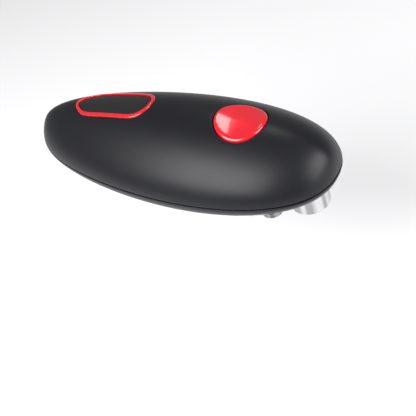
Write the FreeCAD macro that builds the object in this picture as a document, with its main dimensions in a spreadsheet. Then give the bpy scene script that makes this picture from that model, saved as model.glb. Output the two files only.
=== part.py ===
"""Battery-powered hands-free can opener: an egg-shaped two-part housing with a cutting head beneath.

Frame: +X towards the lid magnet at the nose, +Z up, origin under the middle of the housing at the
height of the magnet's face. All sizes are in millimetres and live in the sheet called Sizes.
"""
import FreeCAD
import Part
import Sketcher
import math
import os

V = FreeCAD.Vector
DOC = FreeCAD.newDocument("can_opener")
SHEET = DOC.addObject("Spreadsheet::Sheet", "Sizes")
NODES = []

SIZES = {
    # housing: plan, dome and belly
    "body_length": 195.0, "body_width": 79.8, "dome_height": 32.6, "belly_depth": 19.6,
    "seam_height": 23.5, "wall": 2.2, "belly_flat": 4.3,
    "plan_lean": 0.193, "plan_power": 0.86,
    "dome_lean": 0.024, "dome_power": 0.677, "dome_side": 0.395, "dome_crown": 0.418,
    "belly_lean": -0.008, "belly_power": 0.854, "belly_side": 0.555, "belly_crown": 0.624,
    # housing screws
    "post_radius": 4.0, "screw_radius": 1.45, "screw_hole": 1.55, "head_radius": 2.9,
    # start button and its switch
    "button_x": 48.3, "button_radius": 14.1, "button_hole": 14.6, "button_proud": 0.8,
    "dish_radius": 11.8, "dish_deep": 0.7, "well_thick": 1.3,
    "well_low": 46.6, "flange_low": 44.8, "flange_high": 46.2, "flange_radius": 15.4,
    "button_roof": 48.0, "button_bore": 12.3, "stem_radius": 2.5, "plunger_top": 45.8,
    "board_low": 38.0, "board_high": 39.6, "board_rear": 27.5, "board_front": 69.0, "board_wide": 13.0,
    # grip trim on the handle
    "grip_middle": -35.8, "grip_half": 28.9, "grip_wide": 10.6, "ring_band": 2.0,
    "ring_proud": 0.6, "trim_seat": 1.2, "pad_sunk": 0.35,
    # battery bay
    "cell_radius": 7.25, "cell_long": 50.5, "cell_side": 7.4, "cell_low": 20.5, "cell_rise": 14.7,
    "nub_radius": 2.7, "nub_long": 1.3, "bay_rear": -71.2, "bay_front": -14.3, "bay_half": 16.6,
    "bay_wall": 1.0, "door_rear": -69.0, "door_front": -16.0, "door_half": 17.5, "door_gap": 0.3,
    "leaf_thick": 0.4,
    # gearbox
    "base_low": 10.4, "base_high": 11.4, "top_low": 23.0, "top_high": 25.0,
    "drive_x": 61.0, "drive_y": -12.5, "axle_radius": 1.5, "running_gap": 0.05, "backlash": 0.12,
    "motor_teeth": 10.0, "first_teeth": 50.0, "first_module": 0.5,
    "second_pinion": 12.0, "second_teeth": 42.0, "second_module": 0.6,
    "third_pinion": 12.0, "third_teeth": 40.0, "third_module": 0.7,
    "drive_pinion": 12.0, "drive_teeth": 32.0, "drive_module": 0.8,
    # motor
    "motor_radius": 11.9, "motor_flat": 9.4, "motor_high": 49.0, "motor_shaft": 1.0, "can_wall": 0.8,
    # cutting head
    "head_low": 3.9, "head_high": 5.1, "head_floor": 7.3, "boss_wall": 1.8, "boss_round": 6.0,
    "boss_flare": 2.5, "boss_top": 12.0, "shaft_radius": 2.5, "bushing_radius": 3.5,
    "wheel_radius": 6.0, "wheel_low": 0.6, "wheel_high": 3.6, "wheel_notches": 30.0, "notch_deep": 0.45,
    "carrier_x": 40.6, "carrier_y": -12.5, "carrier_radius": 8.0, "cam_throw": 4.0, "cam_rest": 100.0,
    "cutter_radius": 9.0, "cutter_low": 0.9, "cutter_high": 2.1, "bevel_long": 1.6,
    "ring_teeth": 28.0, "closing_teeth": 12.0, "closing_module": 0.7, "closing_low": 7.6,
    "closing_high": 10.1, "rivet_radius": 2.0,
    # lid magnet
    "magnet_x": 77.7, "magnet_radius": 10.9, "magnet_hole": 11.3, "cup_high": 14.5, "cup_wall": 0.8,
    "magnet_thick": 4.0, "collar_high": 17.5, "collar_radius": 13.0, "stalk_radius": 3.0,
    "stalk_high": 28.5,
}


class Size:
    """A length with the sheet expression that gives it, so that sums stay bound to the sheet."""

    def __init__(self, number, text):
        self.number = number
        self.text = text

    def __add__(self, other):
        other = as_size(other)
        return Size(self.number + other.number, f"({self.text} + {other.text})")

    def __sub__(self, other):
        other = as_size(other)
        return Size(self.number - other.number, f"({self.text} - {other.text})")

    def __mul__(self, other):
        other = as_size(other)
        return Size(self.number * other.number, f"{self.text} * {other.text}")

    def __neg__(self):
        return Size(-self.number, f"(-1 * {self.text})")

    def __float__(self):
        return float(self.number)


def as_size(value):
    """A plain number becomes a Size with its own text."""
    return value if isinstance(value, Size) else Size(float(value), f"({float(value):.9g})")


def size(name):
    """The sheet's cell as a bound Size."""
    return Size(float(getattr(SHEET, name)), f"Sizes.{name}")


def number(name):
    """The sheet's cell as a plain number, for shapes made in code."""
    return float(getattr(SHEET, name))


def fill_sheet():
    """One row per size: its name, its value and its alias."""
    for row, (name, value) in enumerate(SIZES.items(), 1):
        SHEET.set(f"A{row}", name)
        SHEET.set(f"B{row}", str(value))
        SHEET.setAlias(f"B{row}", name)
    DOC.recompute()


def bind(thing, prop, value):
    """Bind a property to the sheet."""
    thing.setExpression(prop, as_size(value).text)


# ---------------------------------------------------------------- bodies, sketches and features

def new_body(label, x=0.0, y=0.0, z=0.0):
    """A PartDesign body whose Label names its node."""
    body = DOC.addObject("PartDesign::Body", label)
    body.Label = label
    for axis, place in zip("xyz", (x, y, z)):
        bind(body, f"Placement.Base.{axis}", place)
    NODES.append(body)
    return body


def origin_plane(body, role):
    return next(plane for plane in body.Origin.OriginFeatures if plane.Role == role)


def new_sketch(body, name, height=0.0, role="XY_Plane"):
    """A sketch on one of the body's own origin planes, lifted by height."""
    sketch = body.newObject("Sketcher::SketchObject", f"{body.Label}_{name}_sketch")
    sketch.AttachmentSupport = [(origin_plane(body, role), "")]
    sketch.MapMode = "FlatFace"
    bind(sketch, "AttachmentOffset.Base.z", height)
    return sketch


def dimension(sketch, kind, ends, value):
    """A driving constraint bound to the sheet."""
    index = sketch.addConstraint(Sketcher.Constraint(kind, *ends, float(value)))
    bind(sketch, f"Constraints[{index}]", value)


def pin_point(sketch, index, point, x, y):
    """Hold a vertex at x, y from the sketch's origin."""
    dimension(sketch, "DistanceX", (-1, 1, index, point), x)
    dimension(sketch, "DistanceY", (-1, 1, index, point), y)


def add_circle(sketch, radius, x=0.0, y=0.0):
    index = sketch.addGeometry(Part.Circle(V(float(x), float(y), 0), V(0, 0, 1), float(radius)), False)
    dimension(sketch, "Radius", (index,), radius)
    pin_point(sketch, index, 3, x, y)


def add_polygon(sketch, points):
    """A closed outline of straight lines with every corner held."""
    first = sketch.GeometryCount
    count = len(points)
    for start, end in zip(points, points[1:] + points[:1]):
        ends = [V(float(x), float(y), 0) for x, y in (start, end)]
        sketch.addGeometry(Part.LineSegment(*ends), False)
    for step in range(count):
        after = first + (step + 1) % count
        sketch.addConstraint(Sketcher.Constraint("Coincident", first + step, 2, after, 1))
        pin_point(sketch, first + step, 1, *points[step])


def feature(body, kind, name, sketch):
    made = body.newObject(f"PartDesign::{kind}", f"{body.Label}_{name}")
    made.Profile = sketch
    return made


def pad(body, name, sketch, length):
    made = feature(body, "Pad", name, sketch)
    bind(made, "Length", length)
    return made


def pocket(body, name, sketch, length):
    """Cut downwards from the sketch, and check that something was cut."""
    DOC.recompute()
    before = body.Shape.Volume
    made = feature(body, "Pocket", name, sketch)
    bind(made, "Length", length)
    DOC.recompute()
    if body.Shape.Volume >= before - 1e-6:
        raise RuntimeError(f"{body.Label}: pocket {name} cut nothing")
    return made


def disc(body, name, radius, low, high, x=0.0, y=0.0):
    """A round pad from low to high."""
    sketch = new_sketch(body, name, low)
    add_circle(sketch, radius, x, y)
    return pad(body, name, sketch, as_size(high) - low)


def tube(body, name, outer, inner, low, high):
    """A round pad with a concentric hole."""
    sketch = new_sketch(body, name, low)
    add_circle(sketch, outer)
    add_circle(sketch, inner)
    return pad(body, name, sketch, as_size(high) - low)


def bore(body, name, radius, low, high, x=0.0, y=0.0):
    """A round pocket from high down to low."""
    sketch = new_sketch(body, name, high)
    add_circle(sketch, radius, x, y)
    return pocket(body, name, sketch, as_size(high) - low)


def turned(body, name, points):
    """A profile of (radius, height) corners turned about the body's own Z axis."""
    sketch = new_sketch(body, name, 0.0, "XZ_Plane")
    add_polygon(sketch, points)
    made = feature(body, "Revolution", name, sketch)
    made.ReferenceAxis = (sketch, ["V_Axis"])
    made.Angle = 360.0
    return made


def box(body, name, x_span, y_span, low, high):
    """A straight-sided pad between two corners."""
    (x0, x1), (y0, y1) = x_span, y_span
    sketch = new_sketch(body, name, low)
    add_polygon(sketch, [(x0, y0), (x1, y0), (x1, y1), (x0, y1)])
    return pad(body, name, sketch, as_size(high) - low)


def slot_box(body, name, x_span, y_span, low, high):
    """A straight-sided pocket between two corners."""
    (x0, x1), (y0, y1) = x_span, y_span
    sketch = new_sketch(body, name, high)
    add_polygon(sketch, [(x0, y0), (x1, y0), (x1, y1), (x0, y1)])
    return pocket(body, name, sketch, as_size(high) - low)


def round_corners(body, base, radius):
    """Fillet the upright edges of a plate."""
    DOC.recompute()
    upright = []
    for index, edge in enumerate(base.Shape.Edges, 1):
        run = edge.Vertexes[-1].Point - edge.Vertexes[0].Point
        if abs(run.z) > 1e-6 and abs(run.x) + abs(run.y) < 1e-6 and edge.Curve.TypeId == "Part::GeomLine":
            upright.append(f"Edge{index}")
    made = body.newObject("PartDesign::Fillet", f"{body.Label}_corners")
    made.Base = (base, upright)
    bind(made, "Radius", radius)
    return made


def tooth_corners(teeth, module, angle):
    """One involute tooth about the line at angle, from inside the root circle to the tip."""
    pressure = math.radians(25.0)
    pitch = teeth * module / 2
    base = pitch * math.cos(pressure)
    root = pitch - 1.15 * module
    tip = pitch + 0.85 * module
    half = math.pi / (2 * teeth) - number("backlash") / (2 * pitch)

    def spread(radius):
        slope = math.acos(min(1.0, base / radius))
        return half + (math.tan(pressure) - pressure) - (math.tan(slope) - slope)

    flank = [(root - 0.3 * module, spread(max(base, root)))]
    flank += [(radius, spread(max(base, radius))) for radius in (root + 0.1 * module, pitch, tip)]
    corners = [(radius, -side) for radius, side in flank] + [(radius, side) for radius, side in flank[::-1]]
    middle = math.radians(angle)
    return [(radius * math.cos(middle + side), radius * math.sin(middle + side))
            for radius, side in corners]


def gear_teeth(body, name, teeth, module, low, high, angle):
    """A toothed wheel: a root disc, one tooth and a polar pattern of it."""
    root = size(teeth) * size(module) * 0.5 - size(module) * 1.15
    disc(body, f"{name}_root", root, low, high)
    sketch = new_sketch(body, f"{name}_tooth", low)
    add_polygon(sketch, tooth_corners(number(teeth), number(module), angle))
    tooth = pad(body, f"{name}_tooth", sketch, as_size(high) - low)
    return repeat_round(body, name, tooth, sketch, size(teeth))


def repeat_round(body, name, original, sketch, count):
    """Repeat a feature evenly about the sketch's normal."""
    pattern = body.newObject("PartDesign::PolarPattern", f"{body.Label}_{name}_pattern")
    pattern.Originals = [original]
    pattern.Axis = (sketch, ["N_Axis"])
    pattern.Angle = 360.0
    bind(pattern, "Occurrences", count)
    body.Tip = pattern
    return pattern


def new_solid(label, shape):
    """A node whose curved shape is made in code."""
    node = DOC.addObject("Part::Feature", label)
    node.Label = label
    node.Shape = shape
    NODES.append(node)
    return node


def cylinder(radius, low, high, x=0.0, y=0.0):
    return Part.makeCylinder(radius, high - low, V(x, y, low))


def block(x_span, y_span, z_span):
    lows, highs = zip(x_span, y_span, z_span)
    return Part.makeBox(*(high - low for low, high in zip(lows, highs)), V(*lows))


def coil(radius, wire, low, high, turns, x=0.0, y=0.0):
    """A round-wire coil spring standing on low."""
    climb = high - low - 2 * wire
    steps = int(turns * 16)
    points = []
    for step in range(steps + 1):
        turn = 2 * math.pi * turns * step / steps
        points.append(V(radius * math.cos(turn), radius * math.sin(turn), climb * step / steps))
    curve = Part.BSplineCurve()
    curve.interpolate(points)
    path = Part.Wire(curve.toShape())
    section = Part.Wire(Part.makeCircle(wire, points[0], curve.tangent(curve.FirstParameter)[0]))
    spring = path.makePipeShell([section], True, True)
    spring.translate(V(x, y, low + wire))
    return spring


# ---------------------------------------------------------------- places worked out from the sizes

def centre_distance(driver, driven, module):
    return (number(driver) + number(driven)) * number(module) / 2


def step_from(start, distance, angle):
    turn = math.radians(angle)
    return (start[0] + distance * math.cos(turn), start[1] + distance * math.sin(turn))


def train_places():
    """Shaft centres from the drive shaft back to the motor, and each step's direction."""
    steps = [("drive_pinion", "drive_teeth", "drive_module", 150.0),
             ("third_pinion", "third_teeth", "third_module", 165.0),
             ("second_pinion", "second_teeth", "second_module", 169.0),
             ("motor_teeth", "first_teeth", "first_module", 195.0)]
    places = [(number("drive_x"), number("drive_y"))]
    for driver, driven, module, angle in steps:
        places.append(step_from(places[-1], centre_distance(driver, driven, module), angle))
    return places, [step[-1] for step in steps]


# ---------------------------------------------------------------- housing

def fullness(angle, lean, power):
    """How full the egg is at one station, before scaling."""
    return math.sin(angle) ** power * (1 + lean * math.cos(angle))


def station_scale(lean, power):
    return max(fullness(math.pi * step / 2000, lean, power) for step in range(1, 2000))


def egg(half, inset=0.0):
    """Half of the egg, above ("dome") or below ("belly") the seam, shrunk by inset."""
    reach = number("body_length") / 2 - inset
    wide = number("body_width") / 2 - inset
    deep = number({"dome": "dome_height", "belly": "belly_depth"}[half]) - inset
    up = 1 if half == "dome" else -1
    plan = (number("plan_lean"), number("plan_power"))
    side = (number(f"{half}_lean"), number(f"{half}_power"))
    stations = 32
    spine = [V(reach, 0, 0)]
    for step in range(1, stations):
        angle = math.pi * step / stations
        spine.append(V(reach * math.cos(angle), wide * fullness(angle, *plan) / station_scale(*plan),
                       deep * fullness(angle, *side) / station_scale(*side)))
    spine.append(V(-reach, 0, 0))
    curve = Part.BSplineCurve()
    curve.interpolate(spine)
    low, high = number(f"{half}_side"), number(f"{half}_crown")
    poles = []
    for pole in curve.getPoles():
        along, out, rise = pole.x, pole.y, up * pole.z
        half_ring = [V(along, out, 0), V(along, out, low * rise), V(along, high * out, rise)]
        other = [V(point.x, -point.y, point.z) for point in reversed(half_ring)]
        poles.append(half_ring + [V(along, 0, rise)] + other)
    skin = Part.BSplineSurface()
    skin.buildFromPolesMultsKnots(poles, curve.getMultiplicities(), [4, 3, 4], curve.getKnots(),
                                  [0.0, 0.5, 1.0], False, False, curve.Degree, 3)
    skin.removeVKnot(2, 2, 1e-5)
    rim = Part.Wire([skin.vIso(0.0).toShape(), skin.vIso(1.0).toShape()])
    shell = Part.makeShell([skin.toShape(), Part.Face(rim)])
    shell.sewShape()
    solid = Part.makeSolid(shell)
    if solid.Volume < 0:
        solid.reverse()
    solid.translate(V(0, 0, number("seam_height")))
    return solid


def screw_places():
    """Housing screws: x, y and the height of the head's seat."""
    return [(-80.5, 0.0, 17.0), (2.0, 27.0, 15.0), (2.0, -27.0, 15.0), (55.0, 25.0, 16.5)]


def board_posts():
    return [(30.0, 0.0), (66.5, 0.0)]


def grip_outline(inset):
    """The trim's rounded outline, blunt towards the button and drawn out to the rear."""
    corners = [(1.0, 0.0), (0.985, 0.33), (0.92, 0.63), (0.84, 0.84), (0.73, 0.97), (0.55, 1.02),
               (0.2, 1.01), (-0.2, 0.98), (-0.5, 0.93), (-0.67, 0.82), (-0.81, 0.58), (-0.92, 0.27),
               (-0.955, 0.0)]
    corners += [(x, -y) for x, y in corners[-2:0:-1]]
    long = number("grip_half") - inset
    wide = number("grip_wide") - inset
    points = [V(number("grip_middle") + x * long, y * wide, 0) for x, y in corners]
    curve = Part.BSplineCurve()
    curve.interpolate(points, PeriodicFlag=True)
    return Part.Face(Part.Wire(curve.toShape()))


def grip_prism(inset):
    prism = grip_outline(inset).extrude(V(0, 0, 40))
    prism.translate(V(0, 0, number("seam_height")))
    return prism


def boss_outline(grow, height):
    """The cutting head's outline: a six-cornered core grown outwards with round corners."""
    core = [(32.0, 1.5), (32.0, -19.0), (42.0, -19.2), (57.5, -14.8), (63.3, -11.0), (60.0, -2.0),
            (52.0, 1.5)]
    wire = Part.makePolygon([V(x, y, height) for x, y in core + core[:1]])
    return wire.makeOffset2D(grow)


def boss_solid(thinner, low):
    """The head boss, flaring upwards, with its side walls moved in by thinner."""
    grow = number("boss_round") - thinner
    bottom = boss_outline(grow, low)
    top = boss_outline(grow + number("boss_flare"), number("boss_top"))
    return Part.makeLoft([bottom, top], True, True)


def make_upper_shell():
    wall, seam = number("wall"), number("seam_height")
    outer = egg("dome")
    shell = outer.cut(egg("dome", wall))
    inside = egg("dome", wall / 2)
    well = cylinder(number("button_hole") + number("well_thick"), number("well_low"), 60, number("button_x"))
    extras = [well.common(inside)]
    for x, y, _ in screw_places():
        extras.append(cylinder(number("post_radius") - 0.4, seam + 0.1, 60, x, y).common(inside))
    for x, y in board_posts():
        extras.append(cylinder(2.5, number("board_high") + 0.05, 60, x, y).common(inside))
    shell = shell.fuse(extras)
    shell = shell.cut(cylinder(number("button_hole"), 30, 60, number("button_x")))
    for x, y, _ in screw_places():
        shell = shell.cut(cylinder(number("screw_hole"), seam - 3, seam + 14, x, y))
        shell = shell.cut(cylinder(number("post_radius") + 0.3, seam - 3, seam + 0.1, x, y))
    for x, y in board_posts():
        shell = shell.cut(cylinder(0.9, number("board_low"), number("board_high") + 5, x, y))
    seat = grip_prism(-0.15).cut(egg("dome", number("trim_seat") + 0.1))
    return shell.cut(seat)


def door_block(grow):
    """The battery door's upright outline."""
    return block((number("door_rear") - grow, number("door_front") + grow),
                 (-number("door_half") - grow, number("door_half") + grow), (0, 20))


def make_lower_shell():
    wall, seam = number("wall"), number("seam_height")
    magnet_x = number("magnet_x")
    shell = egg("belly").fuse(boss_solid(0.0, number("head_high")))
    shell = shell.cut(egg("belly", wall)).cut(boss_solid(number("boss_wall"), number("head_floor")))
    extras = [cylinder(number("collar_radius"), 5, number("collar_high"), magnet_x).common(egg("belly", 0.5))]
    for x, y, _ in screw_places():
        post = cylinder(number("post_radius"), 4, seam - 0.1, x, y)
        extras.append(post.common(egg("belly", wall / 2)))
    shell = shell.fuse(extras)
    cuts = [cylinder(number("magnet_hole"), 0, seam, magnet_x)]
    for x, y, seat in screw_places():
        cuts.append(cylinder(number("head_radius") + 0.2, 0, seat, x, y))
        cuts.append(cylinder(number("screw_hole"), 0, seam, x, y))
    cuts.append(block((-60, 30), (-30, 30), (0, number("belly_flat"))))
    plate = Part.Face(boss_outline(number("boss_round") - 0.9, 0.0))
    cuts.append(plate.extrude(V(0, 0, number("head_high"))))
    cuts.append(door_block(number("door_gap")))
    cuts.append(cylinder(number("carrier_radius") + 0.3, 0, 9, number("carrier_x"), number("carrier_y")))
    cuts.append(cylinder(number("bushing_radius") + 0.05, 0, 9, number("drive_x"), number("drive_y")))
    cuts.append(cylinder(number("axle_radius") + 0.05, 0, 9, *closing_place()))
    for x, y in head_screw_places():
        cuts.append(cylinder(0.95, 0, 9, x, y))
    for cutter in cuts:
        shell = shell.cut(cutter)
    return shell


def make_battery_door():
    skin = egg("belly").cut(egg("belly", number("wall")))
    flat = block((-99, 99), (-41, 41), (number("belly_flat"), 30))
    door = skin.common(door_block(0.0)).common(flat)
    thumb = Part.makeSphere(9.0, V(number("door_front") - 9, 0, -2.2))
    return door.cut(thumb)


def make_button():
    x = number("button_x")
    cap = cylinder(number("button_radius"), number("flange_low"), 60, x)
    cap = cap.common(egg("dome", -number("button_proud")))
    dish = cylinder(number("dish_radius"), number("button_roof"), 60, x)
    cap = cap.cut(dish.cut(egg("dome", number("dish_deep"))))
    cap = cap.fuse(cylinder(number("flange_radius"), number("flange_low"), number("flange_high"), x))
    cap = cap.cut(cylinder(number("button_bore"), 40, number("button_roof"), x))
    stem = cylinder(number("stem_radius"), number("plunger_top") + 0.1, number("button_roof") + 0.5, x)
    return cap.fuse(stem)


def make_housing():
    new_solid("upper_shell", make_upper_shell())
    new_solid("lower_shell", make_lower_shell())
    new_solid("battery_door", make_battery_door())
    seat = egg("dome", number("trim_seat"))
    ring = egg("dome", -number("ring_proud")).common(grip_prism(0.0)).cut(grip_prism(number("ring_band")))
    new_solid("grip_ring", ring.cut(seat))
    pad_skin = egg("dome", number("pad_sunk")).common(grip_prism(number("ring_band") + 0.1))
    new_solid("grip_pad", pad_skin.cut(seat))
    new_solid("start_button", make_button())
    screws = []
    for x, y, seat_high in screw_places():
        head = cylinder(number("head_radius"), seat_high - 2.0, seat_high, x, y)
        slot = block((x - 2.0, x + 2.0), (y - 0.4, y + 0.4), (seat_high - 2.0, seat_high - 1.1))
        cross = block((x - 0.4, x + 0.4), (y - 2.0, y + 2.0), (seat_high - 2.0, seat_high - 1.1))
        shank = cylinder(number("screw_radius"), seat_high, number("seam_height") + 12, x, y)
        screws.append(head.cut(slot).cut(cross).fuse(shank))
    new_solid("housing_screws", Part.makeCompound(screws))


# ---------------------------------------------------------------- switch

def make_switch():
    x = size("button_x")
    spring = coil(7.2, 0.35, number("board_high"), number("button_roof"), 5, number("button_x"))
    new_solid("button_spring", spring)
    board = new_body("switch_board")
    half = size("board_wide") * 0.5
    plate = box(board, "plate", (size("board_rear"), size("board_front")), (-half, half), size("board_low"),
                size("board_high"))
    round_corners(board, plate, 2.0)
    for index, (post_x, post_y) in enumerate(board_posts()):
        bore(board, f"post_hole_{index}", 1.0, size("board_low"), size("board_high"), post_x, post_y)
    switch = new_body("micro_switch", x)
    case = box(switch, "case", (-4.0, 4.0), (-4.0, 4.0), size("board_high"), size("board_high") + 4.0)
    round_corners(switch, case, 0.5)
    bore(switch, "plunger_hole", 1.65, size("board_high") + 0.1, size("board_high") + 4.0)
    plunger = new_body("switch_plunger", x)
    top = size("plunger_top")
    turned(plunger, "pin", [(0.0, top - 4.0), (1.6, top - 4.0), (1.6, top - 0.4), (1.2, top), (0.0, top)])
    screws = []
    for post_x, post_y in board_posts():
        head = cylinder(1.8, number("board_low") - 1.3, number("board_low"), post_x, post_y)
        shank = cylinder(0.85, number("board_low"), number("board_high") + 4, post_x, post_y)
        screws.append(head.fuse(shank))
    new_solid("board_screws", Part.makeCompound(screws))


# ---------------------------------------------------------------- battery bay

def cell_rows():
    """Each row's side, height and the way its positive end points."""
    side, low, rise = number("cell_side"), number("cell_low"), number("cell_rise")
    return [(side, low, 1), (-side, low, -1), (side, low + rise, -1), (-side, low + rise, 1)]


def along_x(radius, start, end, y, z):
    return Part.makeCylinder(radius, end - start, V(start, y, z), V(1, 0, 0))


def make_cell(y, z, way):
    """One round cell with its nub, against the leaf at its positive end."""
    wall = number("bay_wall") + number("leaf_thick") + 0.2
    long, nub = number("cell_long"), number("nub_long")
    if way > 0:
        tip = number("bay_front") - wall
        return along_x(number("cell_radius"), tip - long, tip - nub, y, z).fuse(
            along_x(number("nub_radius"), tip - nub, tip, y, z))
    tip = number("bay_rear") + wall
    return along_x(number("cell_radius"), tip + nub, tip + long, y, z).fuse(
        along_x(number("nub_radius"), tip, tip + nub, y, z))


def make_batteries():
    wall, leaf = number("bay_wall"), number("leaf_thick")
    rear, front, half = number("bay_rear"), number("bay_front"), number("bay_half")
    top = number("cell_low") + number("cell_rise")
    inset = number("wall") + 0.5
    room = egg("dome", inset).fuse(egg("belly", inset))
    tray = block((rear, front), (-half, half), (12.6, 43.2)).common(room)
    tray = tray.cut(block((rear + wall, front - wall), (-14.75, 14.75), (5, top)))
    tray = tray.cut(block((rear + wall, front - wall), (-5.0, 5.0), (top, 40.2)))
    for side in (-1, 1):
        tray = tray.cut(along_x(number("cell_radius") + 0.1, rear + wall, front - wall,
                                side * number("cell_side"), top))
    new_solid("battery_holder", tray)
    new_solid("aa_cells", Part.makeCompound([make_cell(*row) for row in cell_rows()]))
    leaves = []
    for start in (rear + wall, front - wall - leaf):
        leaves.append(block((start, start + leaf), (-12.5, 12.5), (15.0, 40.0)))
    new_solid("battery_contacts", Part.makeCompound(leaves))
    springs = []
    gap = (front - rear) - 2 * wall - 2 * leaf - number("cell_long") - 0.2
    for y, z, way in cell_rows():
        spring = coil(3.0, 0.3, 0.05, gap - 0.05, 3)
        spring.rotate(V(0, 0, 0), V(0, 1, 0), 90)
        start = rear + wall + leaf if way > 0 else front - wall - leaf - gap
        spring.translate(V(start, y, z))
        springs.append(spring)
    new_solid("battery_springs", Part.makeCompound(springs))


# ---------------------------------------------------------------- motor and gearbox

def make_motor(place):
    """A flat-sided motor standing on the gearbox's top plate."""
    floor = size("top_high")
    can = new_body("motor_can", *place)
    disc(can, "barrel", size("motor_radius"), floor, size("motor_high"))
    for index, side in enumerate((1, -1)):
        near, far = size("motor_flat") * side, size("motor_radius") * (side * 1.1)
        slot_box(can, f"flat_{index}", (-15.0, 15.0), (near, far), floor, size("motor_high"))
    bore(can, "hollow", size("motor_flat") - size("can_wall"), floor + size("can_wall"), size("motor_high"))
    bore(can, "shaft_hole", 1.6, floor, floor + 1.0)
    cap = new_body("motor_end_cap", *place)
    disc(cap, "plug", size("motor_flat") - size("can_wall") - 0.1, size("motor_high") - 2.5,
         size("motor_high"))
    disc(cap, "nose", 3.2, size("motor_high"), size("motor_high") + 1.5)
    bore(cap, "shaft_hole", size("motor_shaft") + size("running_gap"), size("motor_high") - 2.5,
         size("motor_high") + 0.8)
    rotor = new_body("motor_rotor", *place)
    disc(rotor, "shaft", size("motor_shaft"), 18.6, size("motor_high") + 0.6)
    disc(rotor, "core", size("motor_flat") - size("can_wall") - 1.0, floor + 5.0, size("motor_high") - 8.0)
    disc(rotor, "commutator", 3.0, size("motor_high") - 7.0, size("motor_high") - 3.5)


def compound_gear(label, place, wheel, pinion):
    """A wheel and its pinion turning on one fixed axle."""
    gear = new_body(label, *place)
    gear_teeth(gear, "wheel", *wheel)
    gear_teeth(gear, "pinion", *pinion)
    return gear


def make_train(places, angles):
    """Motor pinion, three compound gears and the drive gear, all in mesh at rest."""
    drive, third, second, first, motor = places
    to_drive, to_third, to_second, to_first = angles

    def meshing(angle, teeth):
        return angle + 180.0 / number(teeth)

    pinion = new_body("motor_pinion", *motor)
    gear_teeth(pinion, "teeth", "motor_teeth", "first_module", 18.8, 22.8, to_first - 180.0)
    bore(pinion, "shaft_hole", size("motor_shaft"), 18.8, 22.8)

    hole = size("axle_radius") + size("running_gap")
    gear = compound_gear("gear_1", first,
                         ("first_teeth", "first_module", 19.2, 22.0, meshing(to_first, "first_teeth")),
                         ("second_pinion", "second_module", 15.4, 19.2, to_second - 180.0))
    bore(gear, "axle_hole", hole, 15.4, 22.0)
    gear = compound_gear("gear_2", second,
                         ("second_teeth", "second_module", 15.6, 18.4, meshing(to_second, "second_teeth")),
                         ("third_pinion", "third_module", 11.7, 15.6, to_third - 180.0))
    bore(gear, "axle_hole", hole, 11.7, 18.4)
    gear = compound_gear("gear_3", third,
                         ("third_teeth", "third_module", 11.8, 14.8, meshing(to_third, "third_teeth")),
                         ("drive_pinion", "drive_module", 18.9, 22.6, to_drive - 180.0))
    disc(gear, "hub", 3.8, 14.8, 18.9)
    bore(gear, "axle_hole", hole, 11.8, 22.6)
    gear = new_body("drive_gear", *drive)
    gear_teeth(gear, "teeth", "drive_teeth", "drive_module", 19.2, 22.4, meshing(to_drive, "drive_teeth"))
    bore(gear, "shaft_hole", size("shaft_radius"), 19.2, 22.4)
    axles = []
    low, high = number("base_low") + 0.05, number("top_high") - 0.2
    for x, y in (first, second, third):
        axles.append(cylinder(number("axle_radius"), low, high, x, y))
    new_solid("gear_axles", Part.makeCompound(axles))


def pillar_places():
    """Spacer pillars between the two gearbox plates."""
    return [(10.5, -13.5), (31.0, 16.5), (32.5, -16.0)]


def make_plates(places):
    """The two plates that hold the gear train, with pillars between them."""
    drive, third, second, first, motor = places
    base = new_body("gearbox_base")
    sketch = new_sketch(base, "plate", size("base_low"))
    add_polygon(sketch, [(6.5, 12.5), (4.0, -16.5), (26.0, -19.5), (36.5, -19.5), (58.5, -17.0),
                         (65.3, -13.5), (64.0, -3.5), (58.0, 6.5), (35.0, 20.5), (27.0, 20.5)])
    round_corners(base, pad(base, "plate", sketch, size("base_high") - size("base_low")), 2.5)
    top = new_body("gearbox_top")
    sketch = new_sketch(top, "plate", size("top_low"))
    add_polygon(sketch, [(-13.6, 14.0), (-13.6, -14.0), (4.0, -18.0), (60.0, -18.0), (86.0, -10.0),
                         (86.0, 10.0), (60.0, 18.0), (4.0, 18.0)])
    round_corners(top, pad(top, "plate", sketch, size("top_high") - size("top_low")), 3.0)
    for index, (x, y) in enumerate((first, second, third)):
        bore(base, f"axle_hole_{index}", size("axle_radius"), size("base_low"), size("base_high"), x, y)
        bore(top, f"axle_hole_{index}", size("axle_radius"), size("top_low"), size("top_high"), x, y)
    bore(base, "bushing_hole", size("bushing_radius"), size("base_low"), size("base_high"), *drive)
    bore(base, "pinion_pin_hole", size("axle_radius"), size("base_low"), size("base_high"), *closing_place())
    shaft_hole = size("shaft_radius") + size("running_gap")
    bore(top, "drive_hole", shaft_hole, size("top_low"), size("top_high"), *drive)
    bore(top, "motor_hole", 3.6, size("top_low"), size("top_high"), *motor)
    bore(top, "stalk_hole", size("stalk_radius") + size("running_gap"), size("top_low"), size("top_high"),
         size("magnet_x"))
    pillars, screws = [], []
    for index, (x, y) in enumerate(pillar_places()):
        bore(top, f"screw_hole_{index}", 1.3, size("top_low"), size("top_high"), x, y)
        tube_wall = cylinder(2.6, number("base_high"), number("top_low"), x, y)
        pillars.append(tube_wall.cut(cylinder(1.25, number("top_low") - 8, number("top_low"), x, y)))
        head = cylinder(2.4, number("top_high"), number("top_high") + 1.6, x, y)
        screws.append(head.fuse(cylinder(1.2, number("top_low") - 7, number("top_high"), x, y)))
    new_solid("gearbox_pillars", Part.makeCompound(pillars))
    new_solid("gearbox_screws", Part.makeCompound(screws))


# ---------------------------------------------------------------- cutting head

def closing_place():
    """Centre of the closing pinion, beside the cutter carrier."""
    centre = (number("carrier_x"), number("carrier_y"))
    return step_from(centre, centre_distance("closing_teeth", "ring_teeth", "closing_module"), 120.0)


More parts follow.
